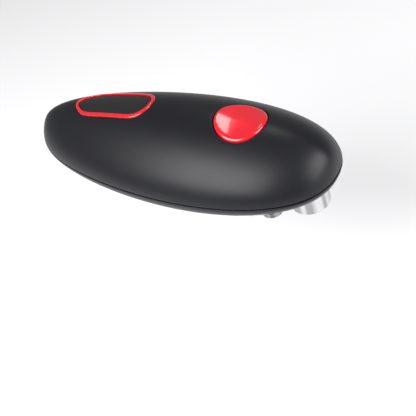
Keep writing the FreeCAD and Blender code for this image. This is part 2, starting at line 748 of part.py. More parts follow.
def cutter_place():
    """Centre of the cutter wheel with the carrier at rest."""
    return step_from((number("carrier_x"), number("carrier_y")), number("cam_throw"), number("cam_rest"))


def head_screw_places():
    return [(30.5, -19.5), (53.5, -1.0), (52.0, -19.3)]


def make_head_plate():
    """The steel plate under the boss that carries the cutting head."""
    low, high = number("head_low"), number("head_high")
    outline = boss_outline(number("boss_round") - 1.0, low)
    plate = Part.Face(outline).extrude(V(0, 0, high - low))
    running = number("running_gap")
    holes = [cylinder(number("carrier_radius") + running, 0, 9, number("carrier_x"), number("carrier_y")),
             cylinder(number("bushing_radius"), 0, 9, number("drive_x"), number("drive_y")),
             cylinder(number("axle_radius"), 0, 9, *closing_place())]
    holes += [cylinder(0.95, 0, 9, x, y) for x, y in head_screw_places()]
    for hole in holes:
        plate = plate.cut(hole)
    new_solid("head_plate", plate)
    screws = []
    for x, y in head_screw_places():
        head = cylinder(1.9, low - 0.9, low, x, y)
        slot = block((x - 1.2, x + 1.2), (y - 0.25, y + 0.25), (low - 0.9, low - 0.5))
        cross = block((x - 0.25, x + 0.25), (y - 1.2, y + 1.2), (low - 0.9, low - 0.5))
        screws.append(head.cut(slot).cut(cross).fuse(cylinder(0.9, low, number("head_floor"), x, y)))
    new_solid("head_screws", Part.makeCompound(screws))


def make_drive(place):
    """Drive shaft, its bushing and the knurled wheel that turns the can."""
    bushing = new_body("drive_bushing", *place)
    tube(bushing, "sleeve", size("bushing_radius"), size("shaft_radius") + size("running_gap"),
         size("head_low"), size("base_high"))
    shaft = new_body("drive_shaft", *place)
    disc(shaft, "rod", size("shaft_radius"), size("wheel_high"), size("top_high") + 0.8)
    bore(shaft, "thread", 1.2, size("wheel_high"), size("wheel_high") + 6.0)
    wheel = new_body("drive_wheel", *place)
    low, high, rim = size("wheel_low"), size("wheel_high"), size("wheel_radius")
    turned(wheel, "rim", [(1.25, low), (rim - 0.4, low), (rim, low + 0.4), (rim, high - 0.6),
                          (rim - 0.6, high), (1.25, high)])
    bore(wheel, "screw_seat", 3.0, low, low + 1.2)
    sketch = new_sketch(wheel, "notch", high)
    deep = size("notch_deep")
    add_polygon(sketch, [(rim - deep, 0.0), (rim + 0.3, -0.5), (rim + 0.3, 0.5)])
    notch = pocket(wheel, "notch", sketch, high - low)
    repeat_round(wheel, "notches", notch, sketch, size("wheel_notches"))
    screw = new_body("wheel_screw", *place)
    disc(screw, "head", 2.7, low + 0.1, low + 1.2)
    disc(screw, "shank", 1.15, low + 1.2, high + 5.0)
    slot_box(screw, "slot", (-2.0, 2.0), (-0.35, 0.35), low + 0.1, low + 0.6)


def make_cutter():
    """The swinging carrier, the cutter wheel on its eccentric rivet and the closing pinion."""
    centre = (size("carrier_x"), size("carrier_y"))
    eye_x, eye_y = cutter_place()
    off_x, off_y = eye_x - number("carrier_x"), eye_y - number("carrier_y")
    carrier = new_body("cutter_carrier", *centre)
    disc(carrier, "drum", size("carrier_radius"), size("head_low"), size("closing_low"))
    gear_teeth(carrier, "ring", "ring_teeth", "closing_module", size("closing_low"), size("closing_high"),
               120.0)
    bore(carrier, "rivet_hole", size("rivet_radius"), size("head_low"), size("closing_high"), off_x, off_y)
    rivet = new_body("cutter_rivet", eye_x, eye_y)
    disc(rivet, "head", 3.4, size("cutter_low") - 0.7, size("cutter_low") - 0.05)
    disc(rivet, "shank", size("rivet_radius"), size("cutter_low") - 0.05, size("closing_high") - 0.1)
    spacer = new_body("cutter_spacer", eye_x, eye_y)
    tube(spacer, "ring", 3.6, size("rivet_radius"), size("cutter_high") + 0.05, size("head_low"))
    cutter = new_body("cutter_wheel", eye_x, eye_y)
    low, high, rim = size("cutter_low"), size("cutter_high"), size("cutter_radius")
    hole = size("rivet_radius") + size("running_gap")
    turned(cutter, "blade", [(hole, low), (rim - 0.1, low), (rim, low + 0.12),
                             (rim - size("bevel_long"), high), (hole, high)])
    pinion = new_body("closing_pinion", *closing_place())
    gear_teeth(pinion, "teeth", "closing_teeth", "closing_module", size("closing_low"), size("closing_high"),
               120.0 + 180.0 / number("closing_teeth"))
    bore(pinion, "pin_hole", size("axle_radius") + size("running_gap"), size("closing_low"),
         size("closing_high"))
    pin = new_body("pinion_pin", *closing_place())
    disc(pin, "rod", size("axle_radius"), size("head_low"), size("base_high"))


# ---------------------------------------------------------------- lid magnet

def make_magnet():
    """A bright cup with the magnet inside, sprung upwards on a stalk through the top plate."""
    x = size("magnet_x")
    radius, wall, top = size("magnet_radius"), size("cup_wall"), size("cup_high")
    cup = new_body("magnet_cup", x)
    turned(cup, "cup", [(0.0, 0.0), (radius - 0.6, 0.0), (radius, 0.6), (radius, top), (radius - wall, top),
                        (radius - wall, wall), (0.0, wall)])
    magnet = new_body("magnet_disc", x)
    disc(magnet, "disc", radius - wall - 0.3, wall, wall + size("magnet_thick"))
    plunger = new_body("magnet_plunger", x)
    bottom = wall + size("magnet_thick")
    stalk, tip, roof = size("stalk_radius"), size("stalk_high"), size("top_high")
    turned(plunger, "core", [(0.0, bottom), (radius - wall - 0.1, bottom), (radius - wall - 0.1, top - 0.3),
                             (stalk, top - 0.3), (stalk, roof + 0.2), (stalk - 0.8, roof + 0.2),
                             (stalk - 0.8, roof + 1.2), (stalk, roof + 1.2),
                             (stalk, tip - 0.6), (stalk - 0.6, tip), (0.0, tip)])
    clip = new_body("magnet_clip", x)
    tube(clip, "ring", stalk + 2.0, stalk - 0.75, roof + 0.25, roof + 1.15)
    spring = coil(4.6, 0.4, number("cup_high") - 0.3, number("top_low"), 4, number("magnet_x"))
    new_solid("magnet_spring", spring)


# ---------------------------------------------------------------- check and write

def check_and_write():
    """Refuse a failed feature or a bad shape, then write one file per node."""
    DOC.recompute()
    for thing in DOC.Objects:
        if "Invalid" in thing.State or "Error" in thing.State:
            raise RuntimeError(f"{thing.Label} failed: {thing.State}")
    os.makedirs("parts", exist_ok=True)
    for node in NODES:
        if node.Shape.isNull() or not node.Shape.isValid():
            raise RuntimeError(f"{node.Label} has a bad shape")
        node.Shape.exportStep(f"parts/{node.Label}.step")
        print(f"{node.Label}: {len(node.Shape.Solids)} solid, {node.Shape.Volume:.0f} mm3")


def main():
    fill_sheet()
    places, angles = train_places()
    make_housing()
    make_switch()
    make_batteries()
    make_motor(places[-1])
    make_train(places, angles)
    make_plates(places)
    make_head_plate()
    make_drive((size("drive_x"), size("drive_y")))
    make_cutter()
    make_magnet()
    check_and_write()


main()
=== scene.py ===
"""Looks for a battery can opener: satin black egg housing, red button and trim, bright lid magnet.

Lengths are in metres in the frame's own axes: +X to the nose, +Z up, the magnet's face at z = 0.
"""

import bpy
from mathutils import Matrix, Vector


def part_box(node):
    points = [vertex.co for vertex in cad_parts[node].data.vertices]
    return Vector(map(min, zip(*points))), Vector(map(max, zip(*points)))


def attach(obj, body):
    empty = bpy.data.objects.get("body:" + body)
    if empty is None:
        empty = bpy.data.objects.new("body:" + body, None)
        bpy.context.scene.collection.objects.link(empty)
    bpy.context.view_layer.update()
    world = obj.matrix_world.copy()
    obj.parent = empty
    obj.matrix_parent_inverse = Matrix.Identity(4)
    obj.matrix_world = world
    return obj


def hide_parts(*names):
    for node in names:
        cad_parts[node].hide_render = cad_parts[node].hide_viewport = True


bl_info = {
    "name": "Can opener looks",
    "version": (1, 0, 0),
    "blender": (4, 5, 0),
    "location": "3D View > Sidebar > Can opener",
    "description": "Builds the visible skins, trim, metal parts, finishes and studio of a can opener",
    "category": "Object",
}

import math

import bmesh
import bpy
import numpy as np
from bpy.props import FloatProperty, FloatVectorProperty, IntProperty, PointerProperty
from mathutils import Matrix, Vector
from mathutils.geometry import delaunay_2d_cdt
from mathutils.kdtree import KDTree

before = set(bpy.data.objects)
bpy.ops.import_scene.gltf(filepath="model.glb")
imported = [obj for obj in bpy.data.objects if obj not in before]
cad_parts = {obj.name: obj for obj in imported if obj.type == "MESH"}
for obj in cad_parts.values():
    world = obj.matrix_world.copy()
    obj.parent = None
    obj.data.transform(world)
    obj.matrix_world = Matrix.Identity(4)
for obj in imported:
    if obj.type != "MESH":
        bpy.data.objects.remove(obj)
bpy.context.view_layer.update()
MM = 0.001


# ---------------------------------------------------------------- sizes and colours

def length(name, words, value):
    return FloatProperty(name=name, description=words, default=value, unit="LENGTH", subtype="DISTANCE")


def share(name, words, value):
    return FloatProperty(name=name, description=words, default=value)


def colour(name, words, value):
    return FloatVectorProperty(name=name, description=words, default=value, size=4, subtype="COLOR",
                               min=0.0, max=1.0)


class OpenerHousing(bpy.types.PropertyGroup):
    body_length: length("Length", "Housing from tail to nose", 195 * MM)
    body_width: length("Width", "Housing across its widest station", 79.8 * MM)
    dome_height: length("Dome", "Height of the dome above the seam", 32.6 * MM)
    belly_depth: length("Belly", "Depth of the belly below the seam", 19.6 * MM)
    seam_height: length("Seam", "Height of the seam between the two shells", 23.5 * MM)
    wall: length("Wall", "Thickness of the shells", 2.2 * MM)
    plan_lean: share("Plan lean", "How far the plan is fuller towards the nose", 0.193)
    plan_power: share("Plan power", "How blunt the plan's ends are", 0.86)
    dome_lean: share("Dome lean", "How far the dome is fuller towards the nose", 0.024)
    dome_power: share("Dome power", "How blunt the dome's ends are", 0.677)
    dome_side: share("Dome side", "How upright the dome's sides start", 0.395)
    dome_crown: share("Dome crown", "How flat the dome's crown is", 0.418)
    belly_lean: share("Belly lean", "How far the belly is fuller towards the nose", -0.008)
    belly_power: share("Belly power", "How blunt the belly's ends are", 0.854)
    belly_side: share("Belly side", "How upright the belly's sides start", 0.555)
    belly_crown: share("Belly crown", "How flat the belly's bottom is", 0.624)
    belly_flat: length("Flat", "Height of the small flat that the belly rests on", 4.3 * MM)
    groove: length("Groove", "Height of the shadow line under the seam", 0.9 * MM)
    mesh_step: length("Mesh step", "Spacing of the skin's points", 1.25 * MM)


class OpenerControls(bpy.types.PropertyGroup):
    button_x: length("Button place", "Start button's centre along the housing", 48.3 * MM)
    button_radius: length("Button radius", "Start button's outside radius", 14.1 * MM)
    button_hole: length("Button hole", "Radius of the hole it moves in", 14.6 * MM)
    grip_middle: length("Trim place", "Middle of the grip trim along the housing", -35.8 * MM)
    grip_half: length("Trim half length", "Half the length of the grip trim", 28.9 * MM)
    grip_wide: length("Trim half width", "Half the width of the grip trim", 10.6 * MM)
    ring_band: length("Ring band", "Width of the red ring", 2.0 * MM)


class OpenerHead(bpy.types.PropertyGroup):
    magnet_x: length("Magnet place", "Lid magnet's centre along the housing", 77.7 * MM)
    magnet_radius: length("Magnet radius", "Outside radius of the magnet's cup", 10.9 * MM)
    magnet_hole: length("Magnet hole", "Radius of the collar it floats in", 11.3 * MM)
    door_rear: length("Door rear", "Rear edge of the battery door", -69.0 * MM)
    door_front: length("Door front", "Front edge of the battery door", -16.0 * MM)
    door_half: length("Door half width", "Half the width of the battery door", 17.5 * MM)
    notches: IntProperty(name="Notches", description="Teeth round the drive wheel", default=30)


class OpenerFinish(bpy.types.PropertyGroup):
    soft_black: colour("Soft-touch black", "Housing shells", (0.0055, 0.0057, 0.0080, 1))
    inset_black: colour("Inset black", "Grip pad", (0.0075, 0.0078, 0.0088, 1))
    gloss_red: colour("Gloss red", "Button and ring", (0.57, 0.0045, 0.016, 1))
    bright_steel: colour("Bright steel", "Magnet cup and cutter", (0.56, 0.56, 0.57, 1))
    zinc: colour("Zinc plate", "Plates and screws", (0.52, 0.53, 0.55, 1))
    tool_steel: colour("Tool steel", "Drive wheel, shafts and gears", (0.34, 0.34, 0.35, 1))
    moulding: colour("Black moulding", "Inner mouldings", (0.016, 0.016, 0.018, 1))
    nylon: colour("Nylon", "White gears", (0.74, 0.72, 0.66, 1))
    brass: colour("Brass", "Pinion and bushings", (0.72, 0.50, 0.20, 1))
    floor: colour("Floor", "Studio floor", (0.80, 0.80, 0.81, 1))


def housing():
    return bpy.context.scene.opener_housing


def controls():
    return bpy.context.scene.opener_controls


def head():
    return bpy.context.scene.opener_head


def finish_colours():
    return bpy.context.scene.opener_finish


# ---------------------------------------------------------------- shader helpers

class Wire:
    """A shader socket that takes part in sums: an expression adds its own Math nodes."""

    def __init__(self, paint, socket):
        self.paint = paint
        self.socket = socket

    def sum(self, operation, first, second):
        return self.paint.node("ShaderNodeMath", {"operation": operation}, {0: first, 1: second})

    def __add__(self, other):
        return self.sum("ADD", self, other)

    def __radd__(self, other):
        return self.sum("ADD", other, self)

    def __sub__(self, other):
        return self.sum("SUBTRACT", self, other)

    def __rsub__(self, other):
        return self.sum("SUBTRACT", other, self)

    def __mul__(self, other):
        return self.sum("MULTIPLY", self, other)

    def __rmul__(self, other):
        return self.sum("MULTIPLY", other, self)

    def __truediv__(self, other):
        return self.sum("DIVIDE", self, other)

    def __pow__(self, other):
        return self.sum("POWER", self, other)


class Paint:
    """One material's node tree, with a Principled shader at its end."""

    def __init__(self, name, **constants):
        self.material = bpy.data.materials.new(name)
        self.material.use_nodes = True
        self.tree = self.material.node_tree
        self.shader = self.tree.nodes["Principled BSDF"]
        for socket, value in constants.items():
            self.shader.inputs[socket.replace("_", " ")].default_value = value

    def node(self, kind, settings=None, inputs=None, output=0):
        """Add a node: its settings first, then the values or links of its sockets."""
        made = self.tree.nodes.new(kind)
        for name, value in (settings or {}).items():
            if name == "stops":
                self.set_stops(made.color_ramp, value)
            else:
                setattr(made, name, value)
        for name, value in (inputs or {}).items():
            self.feed(made.inputs[name], value)
        return Wire(self, made.outputs[output])

    def set_stops(self, ramp, stops):
        while len(ramp.elements) < len(stops):
            ramp.elements.new(0.5)
        for element, (place, value) in zip(ramp.elements, stops):
            element.position = place
            element.color = (value, value, value, 1) if isinstance(value, (int, float)) else value

    def feed(self, socket, value):
        if isinstance(value, Wire):
            self.tree.links.new(value.socket, socket)
        else:
            socket.default_value = value

    def place(self):
        return self.node("ShaderNodeTexCoord", output="Object")

    def stretched(self, x, y, z):
        return self.node("ShaderNodeMapping", inputs={"Vector": self.place(), "Scale": (x, y, z)})

    def noise(self, scale, detail=3.0, rough=0.5, at=None):
        return self.node("ShaderNodeTexNoise", inputs={"Vector": at or self.place(), "Scale": scale,
                                                       "Detail": detail, "Roughness": rough})

    def speckle(self, scale, at=None):
        return self.node("ShaderNodeTexVoronoi", {"feature": "F1"},
                         {"Vector": at or self.place(), "Scale": scale})

    def axis(self, vector, index):
        """One of a vector's three numbers."""
        return self.node("ShaderNodeSeparateXYZ", inputs={0: vector}, output=index)

    def band(self, value, low, high, start=0.0, end=1.0):
        """Remap a value and clamp it."""
        return self.node("ShaderNodeMapRange", {"clamp": True},
                         {"Value": value, "From Min": low, "From Max": high,
                          "To Min": start, "To Max": end})

    def mix(self, factor, first, second):
        return self.node("ShaderNodeMix", {"data_type": "RGBA"},
                         {"Factor": factor, 6: first, 7: second}, output=2)

    def bump(self, height, strength, distance, normal=None):
        inputs = {"Height": height, "Strength": strength, "Distance": distance}
        if normal:
            inputs["Normal"] = normal
        return self.node("ShaderNodeBump", inputs=inputs)

    def edge_wear(self, low=0.52, high=0.62):
        """Bright along convex edges, from the mesh's own pointiness."""
        point = self.node("ShaderNodeNewGeometry", output="Pointiness")
        return self.band(point, low, high)

    def out(self, **links):
        for socket, value in links.items():
            self.feed(self.shader.inputs[socket.replace("_", " ")], value)
        return self.material


def tinted(base, gain):
    return tuple(min(1.0, channel * gain) for channel in base[:3]) + (1.0,)


def soft_touch(name, base, roughness):
    """Matt rubbery paint over plastic: fine grain, faint mottling and slightly polished high spots."""
    paint = Paint(name, Specular_IOR_Level=0.30)
    mottle = paint.noise(38.0, 4.0)
    grain = paint.noise(5200.0, 2.0)
    rubbed = paint.noise(90.0, 6.0, 0.65)
    hue = paint.mix(paint.band(mottle, 0.35, 0.7), tinted(base, 0.92), tinted(base, 1.12))
    rough = roughness + (mottle - 0.5) * 0.035 + (rubbed - 0.5) * 0.03
    normal = paint.bump(grain, 0.10, 0.00006)
    normal = paint.bump(paint.noise(700.0, 3.0), 0.05, 0.0001, normal)
    return paint.out(Base_Color=hue, Roughness=rough, Normal=normal)


def gloss_plastic(name, base):
    """Polished moulded plastic with faint flow marks and a few hairline scuffs."""
    paint = Paint(name, Coat_Weight=0.6, Coat_Roughness=0.045, Specular_IOR_Level=0.55)
    flow = paint.noise(55.0, 3.0)
    dust = paint.band(paint.speckle(900.0), 0.0, 0.055, 1.0, 0.0)
    scuff = paint.band(paint.noise(240.0, 2.0, at=paint.stretched(1.0, 14.0, 1.0)), 0.62, 0.78)
    hue = paint.mix(paint.band(flow, 0.3, 0.7), tinted(base, 0.94), tinted(base, 1.06))
    rough = 0.17 + (flow - 0.5) * 0.05 + scuff * 0.05 + dust * 0.12
    normal = paint.bump(flow, 0.04, 0.0005)
    return paint.out(Base_Color=hue, Roughness=rough, Normal=normal)


def inset_panel(name, base):
    """Fine leather-like spark grain on the grip pad."""
    paint = Paint(name, Specular_IOR_Level=0.5)
    cells = paint.speckle(1500.0)
    soft = paint.noise(300.0, 3.0)
    hue = paint.mix(paint.band(cells, 0.1, 0.6), tinted(base, 1.25), tinted(base, 0.85))
    normal = paint.bump(cells, 0.35, 0.00012)
    return paint.out(Base_Color=hue, Roughness=0.42 + (soft - 0.5) * 0.12, Normal=normal)


def brushed_round_painted_bands(name, base, centre, roughness=0.24):
    """Metal turned about an upright axis: fine rings of brushing, and painted reflection bands, lighter and
    darker sectors of base colour round the axis that stand in for reflected surroundings.
    """
    paint = Paint(name, Metallic=1.0)
    offset = paint.node("ShaderNodeVectorMath", {"operation": "SUBTRACT"}, {0: paint.place(), 1: centre})
    across, along, up = (paint.axis(offset, index) for index in range(3))
    radius = paint.node("ShaderNodeMath", {"operation": "SQRT"}, {0: across * across + along * along})
    rings = paint.node("ShaderNodeCombineXYZ", inputs={0: radius, 1: up})
    lines = paint.noise(5200.0, 3.0, 0.6, at=rings)
    cloud = paint.noise(120.0, 3.0)
    facing = paint.node("ShaderNodeCombineXYZ", inputs={0: across / radius, 1: along / radius})
    # Painted reflection: broad light and dark bands of base colour round the axis stand in for the light
    # and dark surroundings the metal would reflect.
    painted_reflection_band = paint.band(paint.noise(1.9, 1.0, at=facing), 0.40, 0.58)
    hue = paint.mix(painted_reflection_band, tinted(base, 0.50), tinted(base, 1.16))
    hue = paint.mix(paint.band(lines, 0.3, 0.7) * 0.35, hue, tinted(base, 1.1))
    rough = roughness + (lines - 0.5) * 0.16 + (cloud - 0.5) * 0.06
    normal = paint.bump(lines, 0.16, 0.00003)
    return paint.out(Base_Color=hue, Roughness=rough, Normal=normal)


def ground_metal(name, base, roughness, stretch=(1.0, 18.0, 18.0)):
    """Ground or plated metal: straight fine scratches, faint clouding and worn bright edges."""
    paint = Paint(name, Metallic=1.0)
    lines = paint.noise(900.0, 4.0, 0.65, at=paint.stretched(*stretch))
    cloud = paint.noise(140.0, 4.0)
    worn = paint.edge_wear()
    hue = paint.mix(paint.band(cloud, 0.3, 0.75), tinted(base, 0.86), tinted(base, 1.08))
    hue = paint.mix(worn * 0.6, hue, tinted(base, 1.5))
    rough = roughness + (lines - 0.5) * 0.14 + (cloud - 0.5) * 0.10 - worn * 0.08
    normal = paint.bump(lines, 0.12, 0.00004)
    return paint.out(Base_Color=hue, Roughness=rough, Normal=normal)


def moulded(name, base, roughness):
    """Plain spark-eroded moulding with a fine even grain."""
    paint = Paint(name, Specular_IOR_Level=0.45)
    grain = paint.noise(1900.0, 3.0)
    mottle = paint.noise(60.0, 3.0)
    hue = paint.mix(paint.band(mottle, 0.3, 0.7), tinted(base, 0.9), tinted(base, 1.1))
    rough = roughness + (grain - 0.5) * 0.12
    return paint.out(Base_Color=hue, Roughness=rough, Normal=paint.bump(grain, 0.22, 0.00008))


def circuit_board(name):
    """Green solder mask with paler copper runs under it."""
    paint = Paint(name, Coat_Weight=0.3, Coat_Roughness=0.15)
    black, white = (0, 0, 0, 1), (1, 1, 1, 1)
    runs = paint.node("ShaderNodeTexBrick", inputs={"Vector": paint.place(), "Scale": 260.0,
                                                    "Color1": black, "Color2": black, "Mortar": white,
                                                    "Mortar Size": 0.06})
    hue = paint.mix(runs, (0.008, 0.085, 0.030, 1), (0.02, 0.19, 0.07, 1))
    rough = 0.32 + paint.noise(400.0) * 0.08
    normal = paint.bump(paint.noise(500.0), 0.1, 0.00005)
    return paint.out(Base_Color=hue, Roughness=rough, Normal=normal)


def cell_sleeve(name):
    """Shrink sleeve of a round cell: a dark body with a copper-coloured shoulder at one end."""
    paint = Paint(name, Coat_Weight=0.5, Coat_Roughness=0.08, Metallic=0.25)
    shoulder_start = -30 * MM
    shoulder = paint.band(paint.axis(paint.place(), 0), shoulder_start, shoulder_start + 0.2 * MM)
    wrinkle = paint.noise(160.0, 3.0, at=paint.stretched(8.0, 1.0, 1.0))
    hue = paint.mix(shoulder, (0.012, 0.014, 0.018, 1), (0.62, 0.27, 0.07, 1))
    rough = 0.22 + (wrinkle - 0.5) * 0.1
    return paint.out(Base_Color=hue, Roughness=rough, Normal=paint.bump(wrinkle, 0.12, 0.0001))


def studio_floor(name, base):
    """Pale seamless paper with a barely visible tooth."""
    paint = Paint(name, Specular_IOR_Level=0.2)
    tooth = paint.noise(900.0, 4.0)
    hue = paint.mix(paint.band(paint.noise(3.0), 0.3, 0.7), tinted(base, 0.985), tinted(base, 1.0))
    normal = paint.bump(tooth, 0.05, 0.0002)
    return paint.out(Base_Color=hue, Roughness=0.72 + tooth * 0.1, Normal=normal)


# ---------------------------------------------------------------- the egg's surface

HALVINGS = 44
ENDS = 0.001


def fullness(angle, lean, power):
    return np.sin(angle) ** power * (1 + lean * np.cos(angle))


class EggHalf:
    """The dome or the belly as a height over the plan."""

    def __init__(self, half):
        shape = housing()
        self.up = 1.0 if half == "dome" else -1.0
        self.seam = shape.seam_height
        self.reach = shape.body_length / 2
        self.wide = shape.body_width / 2
        self.deep = shape.dome_height if half == "dome" else shape.belly_depth
        self.plan = (shape.plan_lean, shape.plan_power)
        self.side = (getattr(shape, f"{half}_lean"), getattr(shape, f"{half}_power"))
        self.upright = getattr(shape, f"{half}_side")
        self.crown = getattr(shape, f"{half}_crown")
        self.flat = shape.belly_flat if half == "belly" else -1.0
        angles = np.linspace(ENDS, math.pi - ENDS, 2001)
        self.plan_peak = fullness(angles, *self.plan).max()
        self.side_peak = fullness(angles, *self.side).max()

    def half_width(self, x):
        angle = np.arccos(np.clip(x / self.reach, -1, 1))
        return self.wide * fullness(angle, *self.plan) / self.plan_peak

    def depth(self, x):
        angle = np.arccos(np.clip(x / self.reach, -1, 1))
        return self.deep * fullness(angle, *self.side) / self.side_peak

    def section(self, ratio):
        """Rise of the rounded section, 0 at the rim and 1 at the crown, for a share of the half width."""
        low, high = np.zeros_like(ratio), np.ones_like(ratio)
        for _ in range(HALVINGS):
            s = (low + high) / 2
            out = (1 - s) ** 3 + 3 * (1 - s) ** 2 * s + 3 * (1 - s) * s * s * self.crown
            further = out > ratio
            low = np.where(further, s, low)
            high = np.where(further, high, s)
        return 3 * (1 - s) ** 2 * s * self.upright + 3 * (1 - s) * s * s + s ** 3

    def rise(self, plan):
        """Height away from the seam at plan points."""
        plan = np.atleast_2d(plan)
        wide = np.maximum(self.half_width(plan[:, 0]), 1e-9)
        ratio = np.clip(np.abs(plan[:, 1]) / wide, 0, 1)
        return self.depth(plan[:, 0]) * self.section(ratio)

    def height(self, plan, lift=0.0):
        """Frame height of the skin at plan points, lifted outwards by lift."""
        up = self.seam + self.up * self.rise(plan)
        if self.flat > 0:
            blend = 0.25 * MM
            up = self.flat + blend * np.logaddexp(0, (up - self.flat) / blend)
        return up + self.up * lift

    def points(self, plan, lift=0.0):
        plan = np.atleast_2d(plan)
        return np.column_stack([plan, self.height(plan, lift)])

    def gauge(self, plan):
        """How far out a plan point lies: 0 at the middle, 1 on the rim."""
        plan = np.atleast_2d(plan)
        x, y = plan[:, 0], np.abs(plan[:, 1])
        low = np.abs(x) / self.reach
        high = low + y / (0.15 * self.wide) + 1e-6
        for _ in range(HALVINGS):
            middle = (low + high) / 2
            inside = middle * self.half_width(x / np.maximum(middle, 1e-9)) < y
            low = np.where(inside, middle, low)
            high = np.where(inside, high, middle)
        return (low + high) / 2

    def spread_out(self, plan):
        """Plan points moved apart so that equal steps are nearly equal on the skin."""
        near = np.clip(self.gauge(plan), 1e-6, 1)
        return np.atleast_2d(plan) * (2 / math.pi * np.arcsin(near) / near)[:, None]

    def draw_in(self, spread):
        """The reverse of spread_out."""
        near = np.clip(self.gauge(spread), 1e-6, 1)
        return np.atleast_2d(spread) * (np.sin(near * math.pi / 2) / near)[:, None]

    def rim(self, edge, step):
        """The plan loop, anticlockwise, where the skin is edge away from the seam."""
        angle = np.linspace(0, math.pi, 1201)
        along = self.reach * np.cos(angle)
        outline = np.column_stack([along, self.half_width(along)])
        loop = np.vstack([outline, outline[-2:0:-1] * (1, -1)])
        surely_inside = 0.6
        low, high = np.full(len(loop), surely_inside), np.ones(len(loop))
        for _ in range(HALVINGS):
            middle = (low + high) / 2
            above = self.rise(loop * middle[:, None]) > edge
            low = np.where(above, middle, low)
            high = np.where(above, high, middle)
        return even_loop(loop * low[:, None], step)


# ---------------------------------------------------------------- loops in the plan

CORNER_POINTS = 14


def even_loop(loop, step=1.0, count=None):
    """A closed loop resampled to even steps, or to a number of points."""
    closed = np.vstack([loop, loop[:1]])
    run = np.concatenate([[0], np.cumsum(np.linalg.norm(np.diff(closed, axis=0), axis=1))])
    count = count or max(12, int(round(run[-1] / step)))
    places = np.arange(count) * run[-1] / count
    return np.column_stack([np.interp(places, run, closed[:, axis]) for axis in (0, 1)])


def outward(loop):
    """Unit normals that point out of an anticlockwise loop."""
    along = np.roll(loop, -1, axis=0) - np.roll(loop, 1, axis=0)
    normal = np.column_stack([along[:, 1], -along[:, 0]])
    return normal / np.linalg.norm(normal, axis=1)[:, None]


def turned(x, y, radius, sides):
    """Plan points round a circle, or round a wavy one when radius holds a number for each side."""
    angle = np.arange(sides) * 2 * math.pi / sides
    return np.column_stack([x + radius * np.cos(angle), y + radius * np.sin(angle)])


def circle(x, y, radius, step):
    return turned(x, y, radius, max(24, int(round(2 * math.pi * radius / step))))


def at_level(plan, level):
    """Plan points put at one height, or at a height each."""
    return np.column_stack([plan, np.full(len(plan), level)])


def loop_places(loops):
    """Where each loop's points stand in a filled plan, which begins with them."""
    ends = np.cumsum([len(loop) for loop in loops])
    return [np.arange(end - len(loop), end) for loop, end in zip(loops, ends)]


def rounded_outline(corners, radius, step):
    """A convex polygon's outline grown by radius, with round corners, anticlockwise."""
    corners = np.array(corners, float)
    pieces = []
    count = len(corners)
    for index in range(count):
        before, here, after = corners[index - 1], corners[index], corners[(index + 1) % count]
        first = math.atan2(*(here - before)[::-1]) - math.pi / 2
        last = math.atan2(*(after - here)[::-1]) - math.pi / 2
        while last < first:
            last += 2 * math.pi
        for angle in np.linspace(first, last, CORNER_POINTS):
            pieces.append(here + radius * np.array([math.cos(angle), math.sin(angle)]))
    return even_loop(np.array(pieces), step)


def inside_loop(points, loop):
    """Even-odd test of points against a closed loop."""
    result = np.zeros(len(points), bool)
    x, y = points[:, 0], points[:, 1]
    for (x0, y0), (x1, y1) in zip(loop, np.roll(loop, -1, axis=0)):
        if y0 == y1:
            continue
        crosses = (y0 > y) != (y1 > y)
        result ^= crosses & (x < (x1 - x0) * (y - y0) / (y1 - y0) + x0)
    return result



def far_from(points, loops):
    """Each point's distance from the nearest point of the loops."""
    on_loops = np.vstack(loops)
    tree = KDTree(len(on_loops))
    for index, (x, y) in enumerate(on_loops):
        tree.insert((x, y, 0), index)
    tree.balance()
    return np.array([tree.find((x, y, 0))[2] for x, y in points])


def unchanged(plan):
    return plan


def fill_plan(boundary, holes, step, spread=unchanged, draw=unchanged):
    """Triangles that fill boundary less holes. Returns plan points and faces; loop points come first."""
    row_share, clear_share = 0.866, 0.6
    loops = [spread(loop) for loop in [boundary] + holes]
    low, high = loops[0].min(axis=0), loops[0].max(axis=0)
    columns = np.arange(low[0], high[0], step)
    rows = np.arange(low[1], high[1], step * row_share)
    lattice = np.array([(x + (row % 2) * step / 2, y) for row, y in enumerate(rows) for x in columns])

    def filled(points):
        keep = inside_loop(points, loops[0])
        for hole in loops[1:]:
            keep &= ~inside_loop(points, hole)
        return keep

    lattice = lattice[filled(lattice)]
    lattice = lattice[far_from(lattice, loops) > clear_share * step]
    points = np.vstack(loops + [lattice])
    edges = []
    for place in loop_places(loops):
        edges += [(int(start), int(end)) for start, end in zip(place, np.roll(place, -1))]
    placed, _, faces, origins, *_ = delaunay_2d_cdt([Vector(point) for point in points], edges, [], 0, 1e-9)
    if len(placed) != len(points):
        raise RuntimeError("the plan's loops cross or repeat a point")
    faces = np.array([[origins[corner][0] for corner in face] for face in faces])
    plan = np.vstack([boundary] + holes + [draw(lattice)])
    return plan, faces[filled(points[faces].mean(axis=1))]


# ---------------------------------------------------------------- meshes

